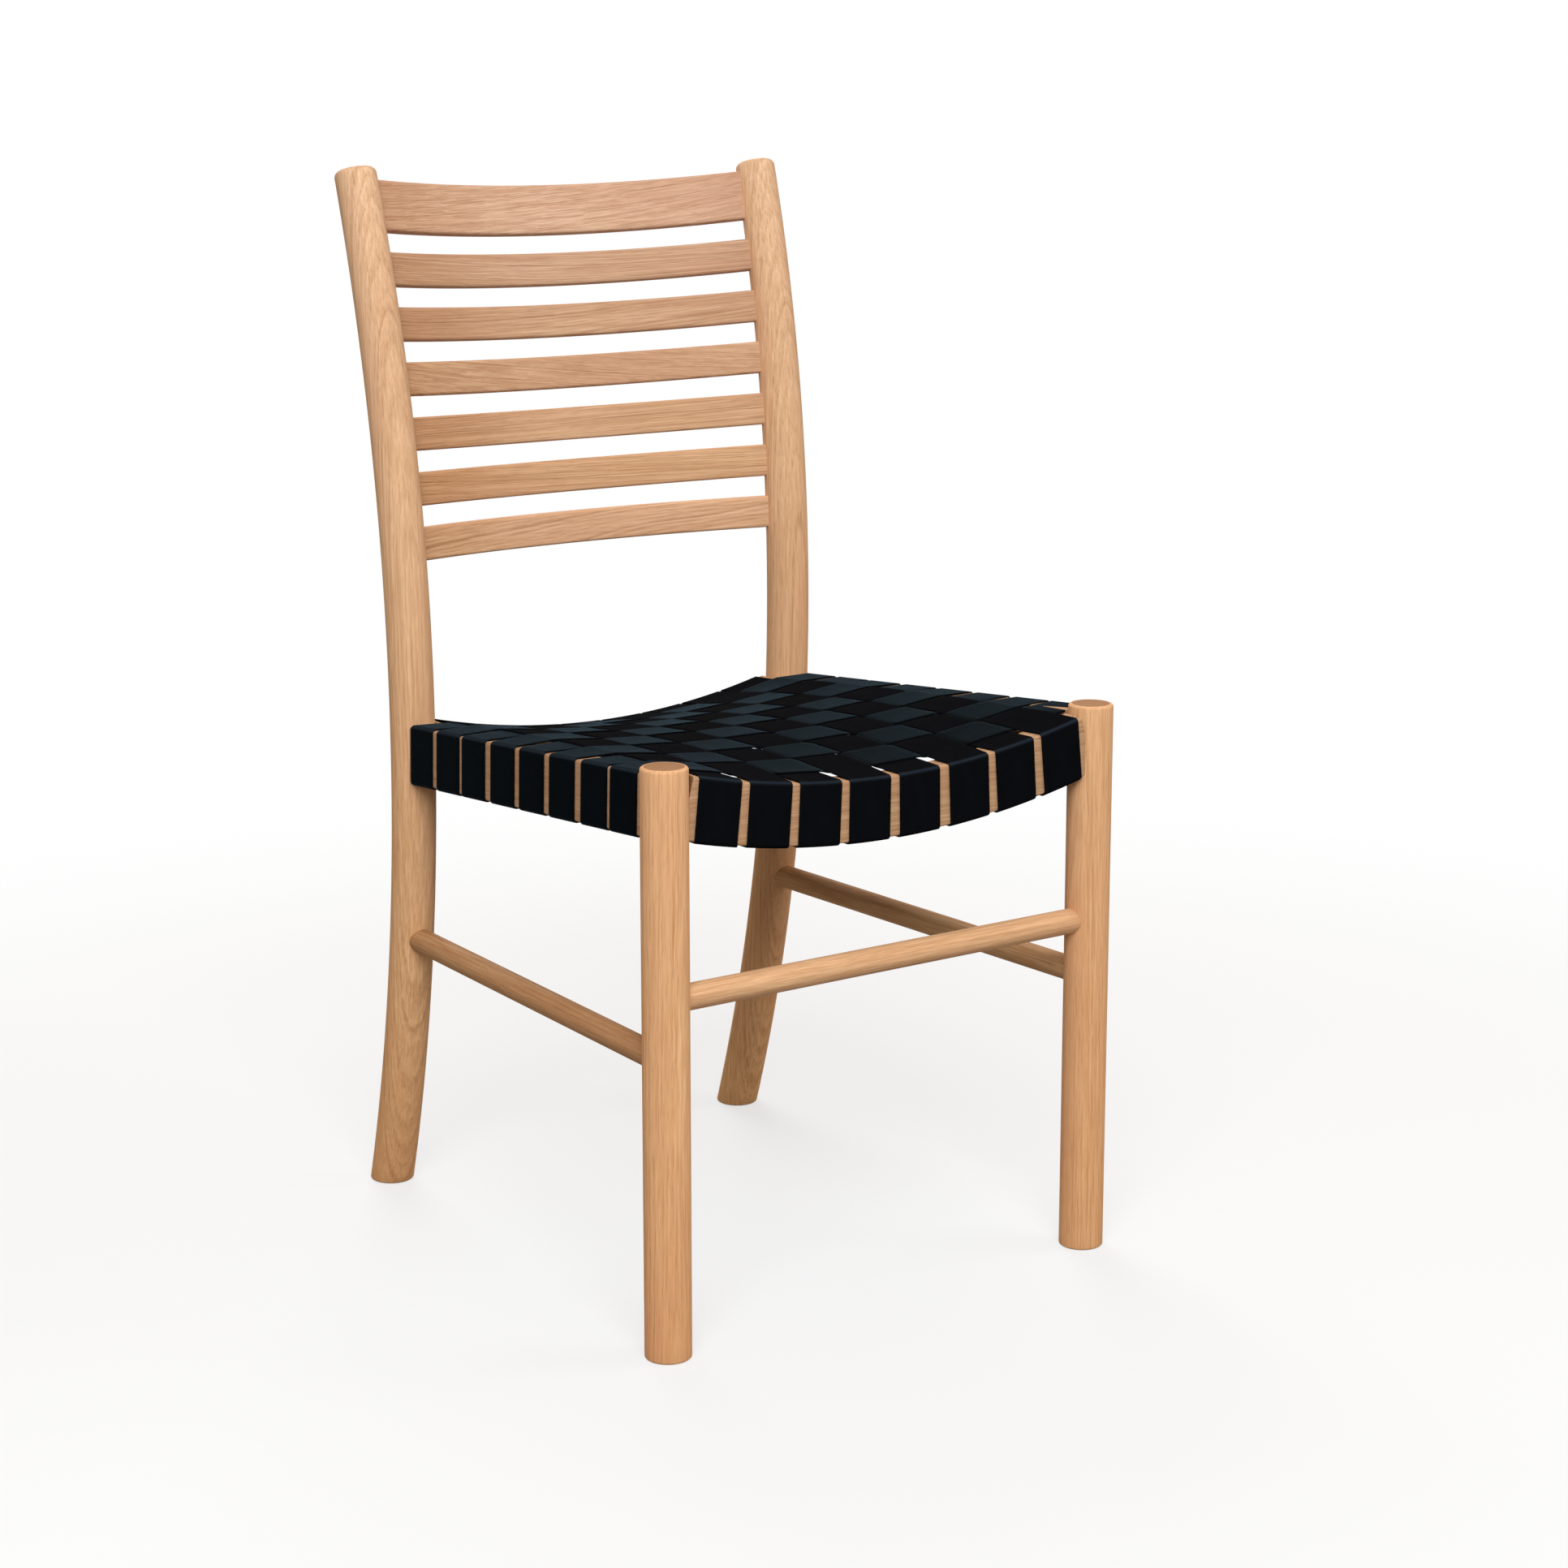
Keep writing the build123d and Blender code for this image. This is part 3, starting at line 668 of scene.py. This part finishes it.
# Stretchers: round bars between two uprights, with both ends in their sockets.
stretcherSizes = {
    "diameter": 0.0206,
    "sideHeight": 0.2338,
    "stagger": 0.0472,
    "intoUpright": 0.019,
    "stations": 60,
    "turn": {"front": 0.9, "left": 2.4, "right": 0.4},
    # Painted shade: the side stretchers, under the seat, are painted darker for the seat's shade on them,
    # the right one most.
    "tone": {"front": (0.92, 0.93, 0.98), "left": (0.72, 0.69, 0.66), "right": (0.64, 0.60, 0.56)},
}


def stretcher(node, name, start, end, endRadius):
    s = stretcherSizes
    first = legRadius - s["intoUpright"]
    last = np.linalg.norm(end - start) - endRadius + s["intoUpright"]
    outline = s["diameter"] / 2 * np.stack([np.cos(circle), np.sin(circle)], axis=-1)
    rings, along = straightBar(start, end, np.linspace(first, last, s["stations"]), outline)
    oakPiece(node, "leg", rings, straightGrain(rings, along), s["turn"][name], tone=s["tone"][name])


def frontStretcher():
    z = stretcherSizes["sideHeight"] + stretcherSizes["stagger"]
    ends = np.array([[-legX, legLine, z], [legX, legLine, z]])
    stretcher("front_stretcher", "front", ends[0], ends[1], legRadius)


def sideStretcher(name, side):
    z = stretcherSizes["sideHeight"]
    rear = np.array([side * float(postHalfSpacing(z)), float(postDepth(z)), z])
    front = np.array([side * legX, legLine, z])
    stretcher(f"side_stretcher_{name}", name, front, rear, float(postRadius(z)))


sides = (("left", 1), ("right", -1))
for name, side in sides:
    frontLeg(name)
    rearPost(name, side)
ladderBack()
for name in railEnds:
    dippedRail(name)
frontStretcher()
for name, side in sides:
    sideRail(name, side)
    sideStretcher(name, side)
print("oak frame made")


# Webbing straps: a flat outline with round selvedges, carried round one rail, through the
# weave and round the other rail.
strapSizes = {
    "width": 0.0395,
    "thickness": 0.0013,
    "fan": 0.47,
    "frontGaps": (5.4, 6.4, 7.3, 8.5, 9.1, 6.5, 5.9),
    "rearGaps": (1.0,),
    "sideGaps": (4.0, 9.0, 8.0, 7.5, 9.0, 4.5, 7.0),
    "count": 8,
    "lift": 0.0155,
    "weaveStep": 0.0007,
    "crimp": 0.0008,
    "crimpPitch": 0.047,
    "flatShare": 0.94,
    "tail": 0.024,
    "seatGap": 0.0002,
    "endGap": 0.00025,
    "squeeze": 0.0024,
    "spread": {"weft": 0.0017, "warp": 0.0011},
    "step": 0.0006,
    "bendSteps": 10,
    "weaveSteps": 400,
    "selvedgePitch": 0.0021,
    "selvedgeDepth": 0.0003,
    "selvedgeSteps": 7,
    "faceShare": 0.84,
    "faceSteps": 8,
    "wobble": 0.00015,
    "wobbleTurns": (21, 57),
    "wobbleSecond": 0.6,
}
webbingFinish = {
    "yarnAcross": 0.0011,
    "yarnAlong": 0.00105,
    "yarnDepth": 0.00025,
    "yarnRelief": 0.6,
    "speckle": (1300.0, 1300.0, 1.0),
    "speckleHeight": 0.9,
    "cloud": (70.0, 22.0, 1.0),
    "yarnLight": (0.55, 0.40),
    "cloudLight": (0.6, 0.7),
    "roughness": 0.8,
    "specular": 0.0,
    "sheenRoughness": 0.25,
    # Painted highlight colour for the fold over a rail's top edge.
    "foldHighlightTone": colour(36, 43, 51),
}
# Painted sheen: the same webbing gets a strong bluish sheen on the side-to-side straps and almost none on
# the front-to-back ones, standing in for the fibres' reflection, which changes with a strap's direction.
webbingTones = {
    "weft": {"base": colour(10, 12, 14), "sheen": 0.16, "sheenTint": (0.5, 0.78, 1.0, 1.0)},
    "warp": {"base": colour(14, 15, 18), "sheen": 0.014, "sheenTint": (1.0, 0.9, 0.86, 1.0)},
}


# Webbing: yarns cross as a product of two sines over the tape, broken up by fine noise, and
# a painted highlight lies along the strap where it folds over the top of a rail.
def webbingMaterial(kind):
    s, tone = webbingFinish, webbingTones[kind]
    material, tree, shader = newMaterial(f"webbing_{kind}")
    tape = attributeNode(tree, "tape", "Vector")
    turns = vectorNode(tree, "MULTIPLY", tape, (math.pi / s["yarnAcross"], math.pi / s["yarnAlong"], 0.0))
    split = addNode(tree, "ShaderNodeSeparateXYZ", Vector=turns)
    waves = [mathNode(tree, "SINE", split.outputs[k]) for k in range(2)]
    yarn = mathNode(tree, "MULTIPLY_ADD", mathNode(tree, "MULTIPLY", *waves), 0.5, 0.5)
    speckle = noiseNode(tree, tape, s["speckle"]).outputs[0]
    cloud = noiseNode(tree, tape, s["cloud"]).outputs[0]
    height = mathNode(tree, "MULTIPLY_ADD", speckle, s["speckleHeight"], yarn)
    yarnLight = mathNode(tree, "MULTIPLY_ADD", height, *s["yarnLight"])
    cloudLight = mathNode(tree, "MULTIPLY_ADD", cloud, *s["cloudLight"])
    tint = mixColour(tree, attributeNode(tree, "foldHighlight", "Fac"), tone["base"], s["foldHighlightTone"])
    tint = mixColour(tree, 1.0, tint, mathNode(tree, "MULTIPLY", yarnLight, cloudLight), "MULTIPLY")
    tree.links.new(tint, shader.inputs["Base Color"])
    shader.inputs["Roughness"].default_value = s["roughness"]
    shader.inputs["Specular IOR Level"].default_value = s["specular"]
    shader.inputs["Sheen Weight"].default_value = tone["sheen"]
    shader.inputs["Sheen Roughness"].default_value = s["sheenRoughness"]
    shader.inputs["Sheen Tint"].default_value = tone["sheenTint"]
    relief = {"Strength": s["yarnRelief"], "Distance": s["yarnDepth"], "Height": height}
    tree.links.new(addNode(tree, "ShaderNodeBump", **relief).outputs[0], shader.inputs["Normal"])
    return material


# Middles of straps laid side by side from start to end, the free length shared out as gaps.
def spreadStraps(start, end, shares):
    width, count = strapSizes["width"], strapSizes["count"]
    free = end - start - count * width
    shares = np.resize(np.array(shares, float), count - 1)
    gaps = free * shares / shares.sum()
    return start + width / 2 + np.concatenate([[0.0], np.cumsum(gaps + width)])


# Slope of a dipped rail at x.
def railSlope(rail, x):
    return np.arcsin(x / dipRadius(rail))


strapLift = strapSizes["seatGap"] + strapSizes["thickness"] / 2


# How far out a strap's edge may lie on a rail's top, so that its foot, which fans out along
# the sloping rail, stays clear of the upright.
def outerEdge(rail):
    face = rail["halfSpan"] - rail["uprightRadius"] - strapSizes["endGap"]
    tall = seatSizes["railHeight"] + 2 * strapLift
    return face - strapSizes["fan"] * tall * math.sin(railSlope(rail, face))


frontEdge = outerEdge(railEnds["front"])
rearEdge = outerEdge(railEnds["rear"])
warpFront = spreadStraps(-frontEdge, frontEdge, strapSizes["frontGaps"])
warpRear = spreadStraps(-rearEdge, rearEdge, strapSizes["rearGaps"])
weftFirst = legRadius + strapSizes["endGap"]
weftLast = postSizes["setBack"] - postSizes["seatDiameter"] / 2 - strapSizes["endGap"]
weftDepth = spreadStraps(weftFirst, weftLast, strapSizes["sideGaps"])


# Middle surface of the weave: the front and rear rails' curves joined by straight lines,
# lifted in the middle where the side straps pull level.
def seatSurface(x, depth):
    v = depth / postSeatDepth
    u = x / mix(legX, postSeatX, v)
    front = dippedTop(railEnds["front"], u * legX)
    rear = dippedTop(railEnds["rear"], u * postSeatX)
    return mix(front, rear, v) + strapLift + strapSizes["lift"] * (1 - u * u) * 4 * v * (1 - v)


# Smooth way over and under: side is 1 where the strap lies above its crossing and -1 below,
# with a smooth step between crossings; near falls off from a crossing's middle as a cosine.
def overUnder(place, crossings, above):
    half = strapSizes["width"] * strapSizes["flatShare"] / 2
    knots = np.stack([crossings - half, crossings + half], axis=-1).ravel()
    levels = np.repeat(np.where(above, 1.0, -1.0), 2)
    slot = np.clip(np.searchsorted(knots, place) - 1, 0, len(knots) - 2)
    t = smoothStep((place - knots[slot]) / (knots[slot + 1] - knots[slot]))
    apart = np.abs(place[:, None] - crossings).min(axis=1)
    near = np.cos(math.pi * apart / strapSizes["crimpPitch"])
    return np.stack([mix(levels[slot], levels[slot + 1], t), near, 0 * near], axis=-1)


# Way round a rail seen end on: down the inner face, under, up the outer face and over
# the top, as offset outwards, height from the rail's top and the angle that the strap faces.
def wrapWay():
    half = seatSizes["railThickness"] / 2 + strapLift
    low = -seatSizes["railHeight"] - strapLift
    bend = seatSizes["edgeRound"] + strapLift
    quarter = math.pi / 2
    top = strapLift - bend
    corners = ((-1, low + bend, 2 * quarter), (1, low + bend, 3 * quarter), (1, top, 4 * quarter))
    way = [np.array([[-half, strapSizes["tail"] - seatSizes["railHeight"], math.pi]])]
    for across, middle, first in corners:
        angle = first + np.linspace(0, quarter, strapSizes["bendSteps"])
        offset = across * (half - bend) + bend * np.cos(angle)
        way.append(np.stack([offset, middle + bend * np.sin(angle), angle], axis=-1))
    return np.concatenate(way)


# Place beside a rail: offset outwards and height up from the strap's end on its top, slipped
# along the rail so that the strap fans out only a share of the way that the slope asks.
def besideRail(end, offset, height):
    slip = (1 - strapSizes["fan"]) * height * math.sin(end["slope"])
    return end["top"] + offset * end["outward"] + height * end["up"] + slip * end["along"]


# Strap round a rail: its path, squeezed along the rail where it shows, the directions across it
# and out of it, half the rail's bend, and the share of painted highlight along the fold over the top: the
# cube of a sine.
def wrapPath(end):
    way = wrapWay()
    angle = way[:, 2:]
    shown = smoothStep(angle / (math.pi / 2) - 3)
    path = besideRail(end, way[:, :1], way[:, 1:2]) + end["squeeze"] * shown * end["along"]
    across = np.broadcast_to(end["along"], path.shape)
    normal = np.cos(angle) * end["outward"] + np.sin(angle) * end["up"]
    camber = np.broadcast_to(end["up"] * end["bend"] / 2, path.shape)
    # Painted highlight: a narrow band along the fold over the rail's top edge.
    foldHighlightShare = np.clip(np.sin(2 * angle), 0.0, 1.0) ** 3 * (angle > 2 * math.pi)
    crossing = np.concatenate([np.zeros((len(path), 2)), foldHighlightShare], axis=1)
    return path, across, normal, camber, crossing


# Evenly spaced stations along a way, with its directions and crossings carried along.
def resample(way, step):
    path = way[0]
    length = np.concatenate([[0.0], np.cumsum(np.linalg.norm(np.diff(path, axis=0), axis=1))])
    even = np.linspace(0, length[-1], int(length[-1] / step))
    carried = [np.stack([np.interp(even, length, column) for column in a.T], axis=-1) for a in way]
    path, across, normal, camber, crossing = carried
    return even, path, unit(across), unit(normal), camber, crossing


# Strap outline: flat faces and round selvedges, as across from -1 to 1 and through from -1 to 1.
def strapOutline():
    s = strapSizes
    turn = np.linspace(-math.pi / 2, math.pi / 2, s["selvedgeSteps"])
    inner = 1 - s["thickness"] / s["width"]
    right = np.stack([inner + (1 - inner) * np.cos(turn), np.sin(turn)], axis=-1)
    flat = np.linspace(s["faceShare"], -s["faceShare"], s["faceSteps"])
    topFace = np.stack([flat, np.ones_like(flat)], axis=-1)
    return np.concatenate([right, topFace, -right, -topFace])


slack = np.random.default_rng(11)


# Slow sideways wander of a strap: two sines of chance phase.
def strapWander(along):
    s = strapSizes
    phase = slack.uniform(0, 2 * math.pi, 2)
    first, second = (np.sin(along * turns + start) for turns, start in zip(s["wobbleTurns"], phase))
    return s["wobble"] * (first + s["wobbleSecond"] * second)


# The strap bows over each crossing and its edges lift or sink to meet the strap it crosses:
# half the crimp times the difference of two cosines, one along the strap and one across it.
# It lies spread a little wider in the weave than round the rails.
def strapPiece(node, way, kind):
    s = strapSizes
    along, path, across, normal, camber, crossing = resample(way, s["step"])
    outline = strapOutline()
    scallop = s["selvedgeDepth"] * np.abs(np.sin(math.pi * along / s["selvedgePitch"]))
    half = s["width"] / 2 - s["selvedgeDepth"] + scallop + s["spread"][kind] * np.abs(crossing[:, 0])
    wide = outline[None, :, :1] * half[:, None, None]
    side, near = crossing[:, None, :1], crossing[:, None, 1:2]
    pillow = s["crimp"] / 2 * side * (near - np.cos(math.pi * wide / s["crimpPitch"]))
    thick = np.broadcast_to(outline[None, :, 1:] * s["thickness"] / 2, wide.shape)
    sway = strapWander(along)[:, None, None] * np.abs(side)
    rings = (path[:, None] + across[:, None] * (wide + sway) + camber[:, None] * wide**2
             + normal[:, None] * (thick + pillow))
    tape = np.concatenate([wide, np.broadcast_to(along[:, None, None], wide.shape), thick], axis=-1)
    foldHighlight = np.broadcast_to(crossing[:, None, 2:], wide.shape)
    mesh = tubeMesh(node + "_webbing", rings, {"tape": tape, "foldHighlight": foldHighlight})
    piece = addPiece(node + "_webbing", mesh, webbing[kind], "webbing", node)


# One way after another, with the last one run backwards.
def joinWays(first, woven, last):
    return [np.concatenate([a, b, c[::-1]]) for a, b, c in zip(first, woven, last)]


# Strap through the weave: it lies on the seat's surface, a weave step above or below it, with
# its directions taken from the surface's slopes on both sides of each point.
def wovenWay(x, depth, crossing, sideways):
    nudge = 0.0005
    slopeX = (seatSurface(x + nudge, depth) - seatSurface(x - nudge, depth)) / (2 * nudge)
    slopeY = (seatSurface(x, depth + nudge) - seatSurface(x, depth - nudge)) / (2 * nudge)
    one, zero = np.ones_like(slopeX), np.zeros_like(slopeX)
    across = np.stack([zero, one, slopeY] if sideways else [one, zero, slopeX], axis=-1)
    normal = unit(np.stack([-slopeX, -slopeY, one], axis=-1))
    path = np.stack([x, legLine + depth, seatSurface(x, depth)], axis=-1)
    path[:, 2] += strapSizes["weaveStep"] * crossing[:, 0]
    return path, unit(across), normal, np.zeros_like(path), crossing


# Plain weave: warps lie on top at every other crossing, like the squares of one colour.
def warpOnTop(i, j):
    return (i + j) % 2 == 1


# End of a front-to-back strap on its rail, square to the rail's slope. On the front rail the
# squeeze grows with the fourth power of the distance from the middle.
def warpEnd(i, name):
    rail = railEnds[name]
    front = name == "front"
    x = (warpFront if front else warpRear)[i]
    slope = railSlope(rail, x)
    return {
        "top": np.array([x, legLine + rail["depth"], dippedTop(rail, x)]),
        "outward": np.array([0.0, -1.0 if front else 1.0, 0.0]),
        "up": np.array([-math.sin(slope), 0.0, math.cos(slope)]),
        "along": np.array([math.cos(slope), 0.0, math.sin(slope)]),
        "slope": slope,
        "bend": 1 / dipRadius(rail),
        "squeeze": strapSizes["squeeze"] * (x / frontEdge) ** 3 * abs(x / frontEdge) if front else 0.0,
    }


# End of a side-to-side strap on a side rail, which is straight.
def weftEnd(j, side):
    start = np.array([side * legX, 0.0, seatSizes["frontHeight"]])
    end = np.array([side * postSeatX, postSeatDepth, rearHeight])
    along = unit(end - start)
    return {
        "top": mix(start, end, weftDepth[j] / postSeatDepth) + np.array([0.0, legLine, 0.0]),
        "outward": unit(np.array([side * along[1], -side * along[0], 0.0])),
        "up": np.array([0.0, 0.0, 1.0]),
        "along": along,
        "slope": math.asin(along[2]),
        "bend": 0.0,
        "squeeze": 0.0,
    }


strapNumbers = np.arange(strapSizes["count"])


def frontToBackStrap(i):
    half = strapSizes["width"] / 2
    depth = np.linspace(weftDepth[0] - half, weftDepth[-1] + half, strapSizes["weaveSteps"])
    x = mix(warpFront[i], warpRear[i], depth / postSeatDepth)
    crossing = overUnder(depth, weftDepth, warpOnTop(i, strapNumbers))
    woven = wovenWay(x, depth, crossing, False)
    way = joinWays(wrapPath(warpEnd(i, "front")), woven, wrapPath(warpEnd(i, "rear")))
    strapPiece(f"front_to_back_strap_{i + 1}", way, "warp")


def sideToSideStrap(j):
    half = strapSizes["width"] / 2
    crossings = mix(warpFront, warpRear, weftDepth[j] / postSeatDepth)
    x = np.linspace(crossings[0] - half, crossings[-1] + half, strapSizes["weaveSteps"])
    crossing = overUnder(x, crossings, ~warpOnTop(strapNumbers, j))
    woven = wovenWay(x, np.full_like(x, weftDepth[j]), crossing, True)
    way = joinWays(wrapPath(weftEnd(j, -1)), woven, wrapPath(weftEnd(j, 1)))
    strapPiece(f"side_to_side_strap_{j + 1}", way, "weft")


webbing = {kind: webbingMaterial(kind) for kind in webbingTones}
for k in strapNumbers:
    frontToBackStrap(k)
    sideToSideStrap(k)
print("straps woven")


# Tacks: a domed head and a tapered shank turned round each tack's axis.
tackSizes = {
    "head": 0.007,
    "dome": 0.0014,
    "domeSteps": 8,
    "shank": 0.0018,
    "taperFrom": 0.7,
    "tip": 0.0001,
    "length": 0.008,
    "pitch": 0.020,
    "inset": 0.0085,
    "around": 20,
}
steelFinish = {
    "dark": colour(28, 30, 36),
    "light": colour(70, 74, 84),
    "mottle": (900.0, 900.0, 900.0),
    "roughness": 0.38,
}


def bluedSteel():
    s = steelFinish
    material, tree, shader = newMaterial("blued_steel")
    place = addNode(tree, "ShaderNodeTexCoord").outputs["Object"]
    tint = mixColour(tree, noiseNode(tree, place, s["mottle"]).outputs[0], s["dark"], s["light"])
    tree.links.new(tint, shader.inputs["Base Color"])
    shader.inputs["Metallic"].default_value = 1.0
    shader.inputs["Roughness"].default_value = s["roughness"]
    return material


# Profile as distance from the axis and height: a quarter ellipse, then the shank to its tip.
def tackProfile():
    s = tackSizes
    rise = np.linspace(0, math.pi / 2, s["domeSteps"])[::-1]
    dome = np.stack([s["head"] / 2 * np.cos(rise), s["dome"] * np.sin(rise)], axis=-1)[1:]
    width, length = s["shank"] / 2, s["length"]
    shank = np.array([[width, 0.0], [width, -s["taperFrom"] * length], [s["tip"], -length]])
    return np.concatenate([dome, shank])


def tackRow(rail, ends):
    s = tackSizes
    offset = -(seatSizes["railThickness"] / 2 + strapSizes["seatGap"] + strapSizes["thickness"])
    height = strapSizes["tail"] - s["inset"] - seatSizes["railHeight"]
    profile = tackProfile()
    turn = np.linspace(0, 2 * math.pi, s["around"], endpoint=False)
    tacks = []
    for end in ends:
        axis = -end["outward"]
        right = end["along"]
        level = np.cross(axis, right)
        ring = right * np.cos(turn)[:, None] + level * np.sin(turn)[:, None]
        turned = profile[:, None, :1] * ring + profile[:, None, 1:] * axis
        seat = besideRail(end, offset, height)
        tacks += [turned + seat + right * shift for shift in (-s["pitch"] / 2, s["pitch"] / 2)]
    mesh = tubeMesh(f"{rail}_rail_tacks_steel", np.stack(tacks), {})
    addPiece(f"{rail}_rail_tacks_steel", mesh, steel, "blued_steel", f"{rail}_rail_tacks")


steel = bluedSteel()
for rail in railEnds:
    tackRow(rail, [warpEnd(k, rail) for k in strapNumbers])
for name, side in sides:
    tackRow(name, [weftEnd(k, side) for k in strapNumbers])
print("tacks driven")

# Dowels lie inside the joints and keep their solids.
beechFinish = {
    "tone": colour(206, 170, 130),
    "streak": (300.0, 300.0, 300.0),
    "shade": (0.4, 0.8),
    "roughness": 0.6,
}


def dowelBeech():
    s = beechFinish
    material, tree, shader = newMaterial("dowel_beech")
    place = addNode(tree, "ShaderNodeTexCoord").outputs["Object"]
    shade = mathNode(tree, "MULTIPLY_ADD", noiseNode(tree, place, s["streak"]).outputs[0], *s["shade"])
    tree.links.new(mixColour(tree, 1.0, s["tone"], shade, "MULTIPLY"), shader.inputs["Base Color"])
    shader.inputs["Roughness"].default_value = s["roughness"]
    return material


beech = dowelBeech()
for rail in ("front", "rear", "left", "right"):
    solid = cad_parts[f"{rail}_rail_dowels"].data
    solid.materials.clear()
    solid.materials.append(beech)


# Floor, light and camera. The floor fades into the white surround away from the chair.
stageSetup = {
    "floorRadius": 6.0,
    "floorCorners": 64,
    "fadeFrom": 0.75,
    "fadeTo": 1.7,
    "floorColour": (0.28, 0.28, 0.28, 1.0),
    "floorRoughness": 0.9,
    "floorWhite": 0.63,
    "worldHue": (1.0, 0.85, 0.68, 1.0),
    "worldAbove": 0.40,
    "worldBelow": 0.08,
    "horizon": (-0.05, 0.15),
}
lamps = {
    "key": {"place": (-1.5, -2.25, 2.45), "size": 2.4, "tint": (1.0, 1.055, 1.12), "power": 98},
    "rear": {"place": (0.9, 2.7, 2.3), "size": 2.6, "tint": (1.0, 1.04, 1.08), "power": 62},
    "fill": {"place": (2.3, -1.7, 1.7), "size": 1.8, "tint": (1.0, 1.02, 1.04), "power": 22},
}
lampAim = (0.0, 0.0, 0.45)
white = (1.0, 1.0, 1.0, 1.0)


# One for the rays that should see white: straight, mirrored or through glass.
def sightRays(tree):
    rays = addNode(tree, "ShaderNodeLightPath").outputs
    seen = mathNode(tree, "MAXIMUM", rays["Is Camera Ray"], rays["Is Glossy Ray"])
    return mathNode(tree, "MAXIMUM", seen, rays["Is Transmission Ray"])


def floorMaterial():
    s = stageSetup
    material, tree, shader = newMaterial("pale_floor")
    distance = vectorNode(tree, "LENGTH", addNode(tree, "ShaderNodeTexCoord").outputs["Object"])
    smooth = {"interpolation_type": "SMOOTHSTEP"}
    fade = addNode(tree, "ShaderNodeMapRange", smooth, n0=distance, n1=s["fadeFrom"], n2=s["fadeTo"])
    shader.inputs["Base Color"].default_value = s["floorColour"]
    shader.inputs["Roughness"].default_value = s["floorRoughness"]
    shader.inputs["Specular IOR Level"].default_value = 0.0
    strength = mathNode(tree, "MULTIPLY", sightRays(tree), s["floorWhite"])
    glow = addNode(tree, "ShaderNodeEmission", Strength=strength)
    lit = addNode(tree, "ShaderNodeAddShader", n0=shader.outputs[0], n1=glow.outputs[0])
    clear = addNode(tree, "ShaderNodeBsdfTransparent")
    shown = addNode(tree, "ShaderNodeMixShader", n0=fade.outputs[0], n1=lit.outputs[0], n2=clear.outputs[0])
    output = next(node for node in tree.nodes if node.type == "OUTPUT_MATERIAL")
    tree.links.new(shown.outputs[0], output.inputs["Surface"])
    return material


def floorDisc():
    angle = np.linspace(0, 2 * math.pi, stageSetup["floorCorners"], endpoint=False)
    rim = stageSetup["floorRadius"] * np.stack([np.cos(angle), np.sin(angle), 0 * angle], axis=-1)
    mesh = bpy.data.meshes.new("floor")
    mesh.from_pydata(rim.tolist(), [], [list(range(len(rim)))])
    floor = bpy.data.objects.new("floor", mesh)
    bpy.context.scene.collection.objects.link(floor)
    mesh.materials.append(floorMaterial())


# Soft light from above and a little from below, in a white surround for the rays of sight.
def studioWorld():
    s = stageSetup
    world = bpy.data.worlds.new("studio")
    bpy.context.scene.world = world
    world.use_nodes = True
    tree = world.node_tree
    tree.nodes.clear()
    seen = sightRays(tree)
    way = addNode(tree, "ShaderNodeTexCoord").outputs["Generated"]
    height = addNode(tree, "ShaderNodeSeparateXYZ", Vector=way).outputs[2]
    low, high = s["horizon"]
    levels = {"n3": s["worldBelow"], "n4": s["worldAbove"]}
    above = addNode(tree, "ShaderNodeMapRange", n0=height, n1=low, n2=high, **levels)
    light = mathNode(tree, "MULTIPLY", above.outputs[0], mathNode(tree, "SUBTRACT", 1.0, seen))
    strength = mathNode(tree, "ADD", light, seen)
    hue = mixColour(tree, seen, s["worldHue"], white)
    background = addNode(tree, "ShaderNodeBackground", Color=hue, Strength=strength)
    addNode(tree, "ShaderNodeOutputWorld", Surface=background.outputs[0])


def areaLamp(name):
    s = lamps[name]
    lamp = bpy.data.lights.new(name, "AREA")
    lamp.shape = "DISK"
    lamp.size = s["size"]
    lamp.energy = s["power"]
    lamp.color = s["tint"]
    holder = bpy.data.objects.new(name, lamp)
    holder.location = s["place"]
    holder.rotation_mode = "QUATERNION"
    holder.rotation_quaternion = (Vector(lampAim) - Vector(s["place"])).to_track_quat("-Z", "Y")
    bpy.context.scene.collection.objects.link(holder)


cameraSetup = {
    "place": (-1.4479, -2.1477, 0.9588),
    "azimuth": -35.374,
    "down": 11.295,
    "sensor": 36.0,
    "lens": 72.72,
    "shift": -0.05,
}


def photoCamera():
    s = cameraSetup
    data = bpy.data.cameras.new("camera")
    data.sensor_width = s["sensor"]
    data.lens = s["lens"]
    data.shift_y = s["shift"]
    camera = bpy.data.objects.new("camera", data)
    turn, down = math.radians(s["azimuth"]), math.radians(s["down"])
    forward = Vector((-math.sin(turn) * math.cos(down), math.cos(turn) * math.cos(down), -math.sin(down)))
    camera.location = s["place"]
    camera.rotation_mode = "QUATERNION"
    camera.rotation_quaternion = forward.to_track_quat("-Z", "Y")
    bpy.context.scene.collection.objects.link(camera)
    bpy.context.scene.camera = camera


floorDisc()
studioWorld()
for name in lamps:
    areaLamp(name)
photoCamera()
bpy.context.scene.view_settings.view_transform = "Standard"
print("floor, light and camera placed")
